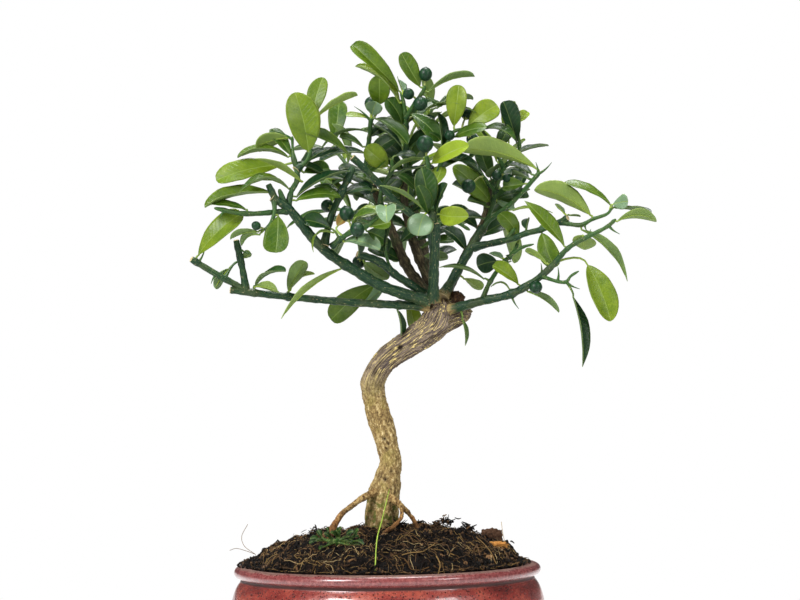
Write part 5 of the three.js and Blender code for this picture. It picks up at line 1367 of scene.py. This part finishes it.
def bark_relief(grain, kinds, bend):
    """How far the bark stands out, in millimetres, and how cracked it is"""
    noises = {name: np.array([noise.noise(Vector((a * fine + aside, b * fine, c * long + ahead)))
                              for a, b, c in grain])
              for name, (fine, long, aside, ahead) in BARK_NOISES.items()}
    deep = np.maximum(1 - np.abs(noises["split"]) / 0.11, 0)
    thin = np.maximum(1 - np.abs(noises["finer"]) / 0.13, 0)
    ridged = 0.4 + 0.6 * bend
    flakes, lumps = noises["flakes"], noises["lumps"]
    on_stem = -0.55 * deep * ridged - 0.28 * thin + 0.5 * flakes + 0.9 * lumps + 0.3 * noises["scales"]
    on_root = -0.2 * thin + 0.5 * flakes + 0.5 * lumps + 0.35 * noises["root_scales"]
    on_core = 1.3 * noises["rough"] - 0.7 * deep + 0.6 * noises["finer"]
    choice = [kinds == STEM, kinds == ROOT]
    return (np.select(choice, [on_stem, on_root], on_core),
            np.select(choice, [np.minimum((deep * 0.8 + thin * 0.4) * ridged, 1), thin * 0.4], deep))


def trunk_skin(lines):
    """One skin over all the stems of the trunk piece"""
    shape = Shape()
    for line, _ in lines:
        shape.add(*tube(line[:, :3], line[:, 3], 20))
    piece = linked("trunk_wood", shape.mesh("trunk_wood", "trunk"))
    remesh = piece.modifiers.new("skin", "REMESH")
    remesh.mode = "VOXEL"
    remesh.voxel_size = BARK_VOXEL * MM
    remesh.use_smooth_shade = True
    soften = piece.modifiers.new("soften", "SMOOTH")
    soften.iterations = 8
    soften.factor = 0.6
    return applied(piece)


def make_trunk():
    lines = trunk_lines()
    piece = trunk_skin(lines)
    mesh = piece.data
    points = gathered(mesh.vertices, "co", 3).astype(float)
    grain, kinds = grain_of(points, lines)
    bend = np.clip((points[:, 2] / MM - BEND_FROM) / BEND_OVER, 0, 1)
    relief, cracks = bark_relief(grain, kinds, bend)
    for *spot, reach, height in TRUNK_KNOTS:
        away = np.linalg.norm(points - np.array(seen(*spot)), axis=1)
        knot = height * np.exp(-(away / (reach * MM)) ** 2)
        relief += knot
        cracks = np.maximum(cracks, -knot)
    points += gathered(mesh.vertices, "normal", 3) * relief[:, None] * MM
    mesh.vertices.foreach_set("co", points.astype(np.float32).ravel())
    store(mesh, "grain", "FLOAT_VECTOR", grain)
    # This value darkens the bark: its own darker colour in the splits, painted shade in the deepest splits
    # and knot holes
    store(mesh, "crack", "FLOAT", np.clip(cracks, 0, 1))
    zones = np.stack([bend, kinds == ROOT, kinds == CORE_WOOD], axis=1)
    store(mesh, "zones", "FLOAT_VECTOR", blurred(mesh, zones))
    mesh.update()
    place_piece(piece, "bark", "trunk")


def blurred(mesh, values, rounds=10):
    """Softens values over a mesh by averaging along its edges"""
    a, b = gathered(mesh.edges, "vertices", 2, np.int32).T
    count = np.bincount(np.concatenate([a, b]), minlength=len(values))[:, None]
    for _ in range(rounds):
        total = np.zeros_like(values)
        np.add.at(total, a, values[b])
        np.add.at(total, b, values[a])
        values = 0.5 * values + 0.5 * total / np.maximum(count, 1)
    return values


# ---- soil

SOIL_RINGS = 120
SOIL_SIDES = 220
# Radius and height of the soil's sides, from its floor up
SOIL_WALL = [(43, 11), (56, 16), (65.4, 31), (68.6, 48), (66.6, 64.8)]
# Noises of the surface: how fine, shift, height
SOIL_NOISES = [(0.16, 5, 1.6), (0.42, 9, 1.1), (1.1, 2, 0.6)]
# How far from the pot's axis a fibre may lie
FIBRE_REACH = 71.5
FIBRE_STEP = 1.2
# Where soil has spilt over the rim: heading in degrees, half width in degrees, how far it lies out
SPILLS = [(178, 38, 75), (216, 16, 71.5), (346, 24, 72), (316, 12, 70.5), (262, 14, 69.5), (90, 40, 71)]
SPILL_RINGS = 6
SPILL_START = 64
SPILL_HEIGHTS = 68.9, 4.4
# Scattered crumbs: grains per square metre, smallest and largest, flatness, seed, finish
SCATTERS = {"soil_crumbs": (300000.0, 0.3, 1.15, 0.85, 4, "crumbs"),
            "bark_bits": (60000.0, 0.8, 2.3, 0.35, 9, "bits"),
            "spilt_crumbs": (420000.0, 0.3, 1.3, 0.7, 21, "crumbs")}
# Fibres: how many, shortest and longest, thinnest and thickest, lift, wander, where they start as a
# share of the soil's radius
DARK_FIBRES = [(700, 6, 30, 0.12, 0.36, 1.9, 0.24, 0), (420, 5, 22, 0.12, 0.34, 1.4, 0.26, 0.86)]
FINE_ROOTS = [(300, 8, 40, 0.06, 0.15, 1.8, 0.13, 0), (220, 8, 26, 0.06, 0.15, 1.5, 0.18, 0.84)]
# Clumps of debris on the soil as the eye sees them: across, up, back, reach, how many fibres
CLUMPS = [(29, 89.3, 2, 4.6, 44), (39.6, 85.6, -4, 3.6, 60), (24, 88, 2, 4, 30), (-36, 84, -6, 4, 40),
          (50, 82.5, -3, 3, 24), (6, 87, -12, 5, 40), (59, 77, -4, 3, 26)]
# Hair-thin roots that stand up from the rim, as seen, with their hues
HAIRS = [
    [(-79, 75, -12), (-75.5, 76, -10), (-70, 74.5, -12), (-66, 73, -14)],
    [(-70, 88, -10), (-73, 82, -10), (-71.5, 77, -12), (-66, 73, -14)],
    [(56.6, 89.3, -6), (57.3, 83.5, -8), (58.7, 76.5, -10), (58, 70, -14)],
]
HAIR_HUES = [0.2, 0.3, 0.8]
HAIR_RADIUS = 0.14


def rough_height(x, y):
    """Height of the soil's surface: a mound with low bumps, clods and grit"""
    out = math.hypot(x, y)
    share = min(out / SOIL_RADIUS, 1)
    bumps = math.sin(0.21 * x + 1.3) * math.cos(0.17 * y) + 0.6 * math.sin(0.33 * y + 0.11 * x)
    clods = sum(height * math.exp(-math.hypot(x - over, y - back) ** 2 / reach ** 2)
                for over, back, reach, height in SOIL_CLODS)
    mound = (SOIL_EDGE_HEIGHT + SOIL_RISE * (1 - share ** 1.9)
             + (SOIL_SHOULDER + 1.1 * bumps + clods) * (1 - share ** SOIL_SHARPNESS))
    grit = sum(noise.noise(Vector((x * fine, y * fine, shift))) * high for fine, shift, high in SOIL_NOISES)
    return mound + grit * max(min((SOIL_RADIUS - out) / 6, 1), 0.12) - 0.7


def soil_ring(radius, sides, lift=0.0):
    return [(x * MM, y * MM, (rough_height(x, y) + lift) * MM) for x, y in circle(radius, sides)]


def soil_mesh():
    points = [(x * MM, y * MM, height * MM)
              for radius, height in SOIL_WALL for x, y in circle(radius, SOIL_SIDES)]
    for ring in range(SOIL_RINGS, 0, -1):
        points += soil_ring(SOIL_RADIUS * ring / SOIL_RINGS, SOIL_SIDES)
    count = len(points)
    points += [(0, 0, SOIL_WALL[0][1] * MM), (0, 0, rough_height(0, 0) * MM)]
    shape = Shape()
    shape.add(points, skin(len(SOIL_WALL) + SOIL_RINGS, SOIL_SIDES, 0, count, count + 1))
    return shape.mesh("soil_body", "peat")


def soil_top_mesh(name, high, low=0.02, sides=120, rings=40):
    """The soil's surface alone, between two shares of its radius, for scattering on"""
    points = []
    for ring in range(rings + 1):
        points += soil_ring(SOIL_RADIUS * (high - (high - low) * (1 - ring / rings) ** 1.8), sides, 0.1)
    shape = Shape()
    shape.add(points, [(a, d, c, b) for a, b, c, d in bands(rings + 1, sides)])
    return shape.mesh(name)


def spill_mesh(name):
    """Low heaps of soil on the pot's rim"""
    shape = Shape()
    for heading, half, reach in SPILLS:
        count, points = 2 * half, []
        for ring in range(SPILL_RINGS + 1):
            for step in range(count + 1):
                share = 2 * step / count - 1
                out = SPILL_START + (reach - SPILL_START) * (1 - share * share) * ring / SPILL_RINGS
                angle = math.radians(heading + half * share)
                high = SPILL_HEIGHTS[0] + SPILL_HEIGHTS[1] * (1 - ring / SPILL_RINGS) * (1 - share * share)
                points.append((out * math.cos(angle) * MM, out * math.sin(angle) * MM, high * MM))
        shape.add(points, [(near, near + count + 1, near + count + 2, near + 1) for ring in range(SPILL_RINGS)
                           for near in range(ring * (count + 1), ring * (count + 1) + count)])
    return shape.mesh(name)


def ground(x, y):
    """Height of what a fibre lies on: the soil, and beyond it the pot's rim"""
    out = math.hypot(x, y)
    if out < SOIL_RADIUS:
        return rough_height(x, y)
    return SOIL_EDGE_HEIGHT + 0.9 - 0.05 * (out - 71) ** 2 * (out > 71)


def fibre_paths(draw, count, shortest, longest, thinnest, thickest, lift, wander, inside):
    """Random walks over the soil, each rising a little off it; they start beyond a share of its radius"""
    paths = []
    for _ in range(count):
        distance = SOIL_RADIUS * 0.99 * math.sqrt(inside ** 2 + (1 - inside ** 2) * draw.random())
        heading = draw.uniform(0, 2 * math.pi)
        x, y = distance * math.cos(heading), distance * math.sin(heading)
        way, turn = draw.uniform(0, 2 * math.pi), 0.0
        steps = int(draw.uniform(shortest, longest) / FIBRE_STEP)
        high, radius, waves = draw.uniform(0.2, lift), draw.uniform(thinnest, thickest), draw.uniform(1, 3)
        rows = []
        for step in range(steps):
            if math.hypot(x, y) > FIBRE_REACH:
                break
            share = step / max(steps - 1, 1)
            height = ground(x, y) + 0.15 + high * abs(math.sin(math.pi * waves * share))
            fade = 0.45 + 0.55 * math.sin(math.pi * min(share + 0.2, 1))
            rows.append((x * MM, y * MM, height * MM, radius * fade * MM))
            turn = turn * 0.7 + draw.uniform(-wander, wander)
            way += turn
            x += FIBRE_STEP * math.cos(way)
            y += FIBRE_STEP * math.sin(way)
        if len(rows) >= 4:
            paths.append(rows)
    return paths


def clump_paths(draw):
    """Short fibres that lie in all directions about the middle of a clump"""
    paths = []
    for across, up, back, reach, count in CLUMPS:
        for _ in range(count):
            spot = np.array([draw.gauss(0, spread) * reach for spread in (0.45, 0.45, 0.28)])
            way = np.array([draw.gauss(0, spread) for spread in (1, 0.6, 0.45)])
            way /= np.linalg.norm(way)
            long = draw.uniform(1.5, 1.3 * reach)
            bow = np.array([draw.gauss(0, 0.5), 0, draw.gauss(0, 0.5)])
            thick = draw.uniform(0.14, 0.42)
            rows = []
            for share in np.linspace(0, 1, 6):
                arch = share * (1 - share)
                x, y, z = spot + way * long * (share - 0.5) + bow * arch * 3
                rows.append((across + x, up + z, back + y, thick * (0.5 + 2 * arch)))
            paths.append(in_scene(rows))
    return paths


def seen_on_soil(across, up):
    """The soil's point that the eye sees at a place"""
    eye = Vector(EYE) * MM
    aim = seen(across, up, 0) - eye
    for share in np.linspace(0.92, 1.02, 400):
        point = eye + aim * float(share)
        x, y, z = (value / MM for value in point)
        if math.hypot(x, y) < SOIL_RADIUS and z <= rough_height(x, y) + 0.5:
            return point
    return None


def loose_root_paths():
    paths = []
    for rows in LOOSE_ROOTS:
        spots = [seen_on_soil(*row) for row in rows]
        spots = [(*(spot + Vector((0, -0.5, 1.2)) * MM), 0.25 * MM) for spot in spots if spot is not None]
        if len(spots) >= 3:
            paths.append(smooth(spots, 1.2 * MM))
    return paths


def make_soil():
    place_piece(soil_mesh(), "peat", "soil")
    grounds = soil_top_mesh("soil_crumbs", 1), soil_top_mesh("bark_bits", 0.995), spill_mesh("spilt_crumbs")
    for mesh, (density, smallest, largest, flatness, seed, finish) in zip(grounds, SCATTERS.values()):
        place_piece(made_by(CRUMBS, mesh, Density=density, Smallest=smallest * MM, Largest=largest * MM,
                            Flatness=flatness, Seed=seed, Finish=FINISHES[finish]), "peat", "soil")
    draw = random.Random("fibres")
    dark = [path for row in DARK_FIBRES for path in fibre_paths(draw, *row)] + clump_paths(draw)
    light = [path for row in FINE_ROOTS for path in fibre_paths(draw, *row)] + loose_root_paths()
    for name, paths, finish in (("peat_fibres", dark, "fibre"), ("fine_roots", light, "fine_root")):
        mesh = path_mesh(name, paths, [draw.random() for _ in paths])
        place_piece(stems(mesh, 5, 0.12, 900.0, finish), "peat", "soil")
    hairs = [smooth(in_scene([(*row, HAIR_RADIUS) for row in rows]), 1.0 * MM) for rows in HAIRS]
    place_piece(stems(path_mesh("root_hairs", hairs, HAIR_HUES), 5, 0.0, 900.0, "fine_root"), "peat", "soil")


# ---- things on the soil

# Section of the grass blade, across it and upwards as shares of its half width
GRASS_SECTION = [(1, 0), (0.5, 0.35), (0, -0.1), (-0.5, 0.35), (-1, 0), (0, -0.45)]


def make_grass():
    path = smooth(GRASS, 1)
    points = np.array([seen(*row[:3]) for row in path])
    across, over = frames(points)
    spots = [point + (side * out + up * high) * row[3] * MM * 1.05
             for point, side, up, row in zip(points, across, over, path) for out, high in GRASS_SECTION]
    count = len(GRASS_SECTION)
    last = len(spots) - count
    shape = Shape()
    ends = [tuple(range(count - 1, -1, -1)), tuple(range(last, last + count))]
    shape.add(spots, bands(len(path), count) + ends)
    place_piece(shape.mesh("grass_leaf", "grass"), "leaf", "grass_blade")


def make_weed():
    stem = smooth(WEED_STEM, 0.8)
    place_wood("weed_stem", [stem], 8, 0.1, "green_bark", "leaf", "weed")
    draw = random.Random("weed")
    rows = []
    for _ in range(WEED_SPREAD["count"]):
        heading, share = draw.uniform(0, 2 * math.pi), math.sqrt(draw.random())
        across = WEED_SPREAD["across"] + WEED_SPREAD["wide"] * share * math.cos(heading)
        up = WEED_SPREAD["up"] + WEED_SPREAD["high"] * share * math.sin(heading)
        turn = heading + draw.uniform(-0.9, 0.9)
        long = draw.uniform(3.5, 6)
        rows.append((across, up, across + long * math.cos(turn), up + long * 0.7 * math.sin(turn),
                     draw.uniform(-5, 2), long * 0.8, draw.uniform(15, 85), 0.12, draw.uniform(0.02, 0.24),
                     *stem[-1][:2]))
    shape = leaf_shape()
    branch_leaves(shape, [stem], rows, draw, 0.5)
    place_leaves(shape, "weed")


def place_chip(name, chip, place, finish, *nodes):
    """A broken piece of bark with rounded shoulders and torn layers"""
    built = bmesh.new()
    bmesh.ops.create_cube(built, size=1)
    bmesh.ops.subdivide_edges(built, edges=built.edges[:], cuts=22, use_grid_fill=True)
    stand = Matrix.Rotation(chip["turn"], 3, "Z") @ Matrix.Rotation(chip["lean"], 3, "X")
    for vertex in built.verts:
        x, y, z = vertex.co
        z *= 1 - 0.32 * max(z, 0) * (2 * x) ** 2
        x *= 1 - 0.16 * (2 * z) ** 4
        point = Vector(share * length * MM for share, length in zip((x, y, z), chip["size"]))
        a, b, c = (value / MM for value in point)
        torn = noise.noise(Vector((a * 0.25, b * 1.6, c * 0.25))) * 1.2 + noise.noise(point / MM * 0.9) * 0.9
        vertex.co = stand @ (point + point.normalized() * torn * MM) + place
    bmesh.ops.recalc_face_normals(built, faces=built.faces[:])
    mesh = bpy.data.meshes.new(name)
    built.to_mesh(mesh)
    built.free()
    mesh.materials.append(FINISHES[finish])
    mesh.polygons.foreach_set("use_smooth", [True] * len(mesh.polygons))
    store(mesh, "hue", "FLOAT", [0.7] * len(mesh.vertices))
    place_piece(mesh, "bark", *nodes)


def make_chips():
    place_chip("bark_chip_piece", CHIP, seen(*CHIP["place"]), "chip", "bark_chip")
    place = seen_on_soil(*SLIVER["seen_at"]) + Vector((0, 0, SLIVER["lift"] * MM))
    place_chip("wood_sliver", SLIVER, place, "sliver", "soil")


# ---- pot

POT_SIDES = 240
# Below this height and within this radius the pot is bare clay: outside under it, inside, and its floor
CLAY_UNDER = 0.25
CLAY_INSIDE = 66, 68.8
CLAY_FLOOR = 9.5, 50
DRILLED_FLOOR = 9.5, 30


def pot_profile():
    """The pot's outline in fine steps, with true corners only at the foot"""
    curves = ((POT_OUTSIDE[1:], 1.2), (POT_LIP, 0.6), (POT_INSIDE[:-1], 2))
    rows = [row[:2] for part, step in curves for row in smooth([(*row, 0, 0) for row in part], step)]
    return [(0.0, 0.0), (30.0, 0.0), *rows, (22.0, 9.0), (0.0, 9.0)]


def pot_mesh():
    profile, points = pot_profile(), []
    for radius, height in profile:
        for side in [0] if radius == 0 else range(POT_SIDES):
            angle = 2 * math.pi * side / POT_SIDES
            uneven = 0.0012 * math.sin(3 * angle + height * 0.05) + 0.0008 * math.sin(7 * angle + 1)
            out = radius * (1 + uneven)
            points.append((out * math.cos(angle) * MM, out * math.sin(angle) * MM, height * MM))
    shape = Shape()
    shape.add(points, skin(len(profile) - 2, POT_SIDES, 1, 0, len(points) - 1))
    mesh = shape.mesh("pot_body", "glaze", "clay")
    for face in mesh.polygons:
        out, up = math.hypot(*face.center[:2]) / MM, face.center.z / MM
        inwards = face.normal.x * face.center.x + face.normal.y * face.center.y < 0
        if (inwards and up < CLAY_INSIDE[0] and out < CLAY_INSIDE[1]
                or up < CLAY_UNDER or up < CLAY_FLOOR[0] and out < CLAY_FLOOR[1]):
            face.material_index = 1
    return mesh


def drain_drill():
    drill = Shape()
    for index in range(DRAIN_HOLES):
        heading = 2 * math.pi * index / DRAIN_HOLES + math.pi / 2
        x, y = DRAIN_CIRCLE * math.cos(heading) * MM, DRAIN_CIRCLE * math.sin(heading) * MM
        drill.add(*tube([(x, y, z * MM) for z in (-5, 5, 14)], [DRAIN_RADIUS * MM] * 3, 36))
    return linked("drill", drill.mesh("drill", "clay"))


def make_pot():
    piece, cutter = linked("pot_body", pot_mesh()), drain_drill()
    holes = piece.modifiers.new("holes", "BOOLEAN")
    holes.operation = "DIFFERENCE"
    holes.solver = "EXACT"
    holes.object = cutter
    applied(piece)
    bpy.data.objects.remove(cutter)
    for face in piece.data.polygons:
        if face.center.z / MM < DRILLED_FLOOR[0] and math.hypot(*face.center[:2]) / MM < DRILLED_FLOOR[1]:
            face.material_index = 1
            face.use_smooth = False
    place_piece(piece, "glaze", "pot")


def dress_drain_mesh():
    """The drain mesh keeps its CAD shape and gets a moulded finish"""
    for item in bpy.data.objects["drain_mesh"].material_slots:
        item.material = FINISHES["plastic"]


# ---- scene around the object

# How bright the white room is for soft light and in glossy surfaces; the eye sees it as 1
SKY_LIGHT = 0.23
SKY_MIRRORED = 0.07
# Softboxes, in metres and watts: place, width and height, power
SOFTBOXES = {"softbox_left": ((-0.9, -1.0, 1.0), (0.45, 0.7), 31),
             "softbox_right": ((1.0, -0.9, 0.8), (0.4, 0.6), 10),
             "softbox_top": ((0.1, 0.3, 1.6), (0.6, 0.6), 30)}
LIT_POINT = Vector((0, 0, 0.2))
# The floor reaches this many metres out, and turns white between two distances in millimetres
FLOOR_REACH = 40
FLOOR_FADE = 150, 520


def add_camera():
    camera = linked("camera", bpy.data.cameras.new("camera"))
    camera.data.lens = LENS
    camera.data.sensor_width = 36
    camera.data.sensor_fit = "HORIZONTAL"
    camera.location = Vector(EYE) * MM
    aim = Vector((EYE[0], 0, VIEW_MIDDLE[1])) * MM - camera.location
    turn = aim.to_track_quat("-Z", "Y").to_matrix() @ Matrix.Rotation(-HEAD_TILT, 3, "Z")
    camera.rotation_euler = turn.to_euler()
    bpy.context.scene.camera = camera


def add_lights():
    for name, (place, size, watts) in SOFTBOXES.items():
        lamp = bpy.data.lights.new(name, "AREA")
        lamp.energy = watts
        lamp.shape = "RECTANGLE"
        lamp.size, lamp.size_y = size
        box = linked(name, lamp)
        box.location = place
        box.rotation_euler = (LIT_POINT - box.location).to_track_quat("-Z", "Y").to_euler()
    world = bpy.data.worlds.new("studio")
    world.use_nodes = True
    sky = Network(world.node_tree)
    shown, mirrored = (sky.node("LightPath", {}, {}, ray) for ray in ("Is Camera Ray", "Is Glossy Ray"))
    back = world.node_tree.nodes["Background"]
    strength = SKY_LIGHT + shown * (1 - SKY_LIGHT) + mirrored * (SKY_MIRRORED - SKY_LIGHT)
    sky.fill(back.inputs["Strength"], strength)
    back.inputs["Color"].default_value = (1, 1, 1, 1)
    bpy.context.scene.world = world
    bpy.context.scene.view_settings.view_transform = "Standard"


def add_floor():
    white = Finish("floor_white", Roughness=0.9, Base_Color=(0.9, 0.9, 0.9, 1))
    white.blend(white.place().vector("LENGTH", output="Value").rise(*FLOOR_FADE), white.node("Emission"))
    mesh = bpy.data.meshes.new("floor")
    corners = [(x * FLOOR_REACH, y * FLOOR_REACH, 0) for x, y in ((-1, -1), (1, -1), (1, 1), (-1, 1))]
    mesh.from_pydata(corners, [], [(0, 1, 2, 3)])
    mesh.materials.append(white.material)
    floor = linked("floor", mesh)


add_camera()
add_lights()
add_floor()
wood_of = make_branches()
make_sprays()
make_fruits(wood_of)
make_trunk()
make_soil()
make_grass()
make_weed()
make_chips()
make_pot()
dress_drain_mesh()
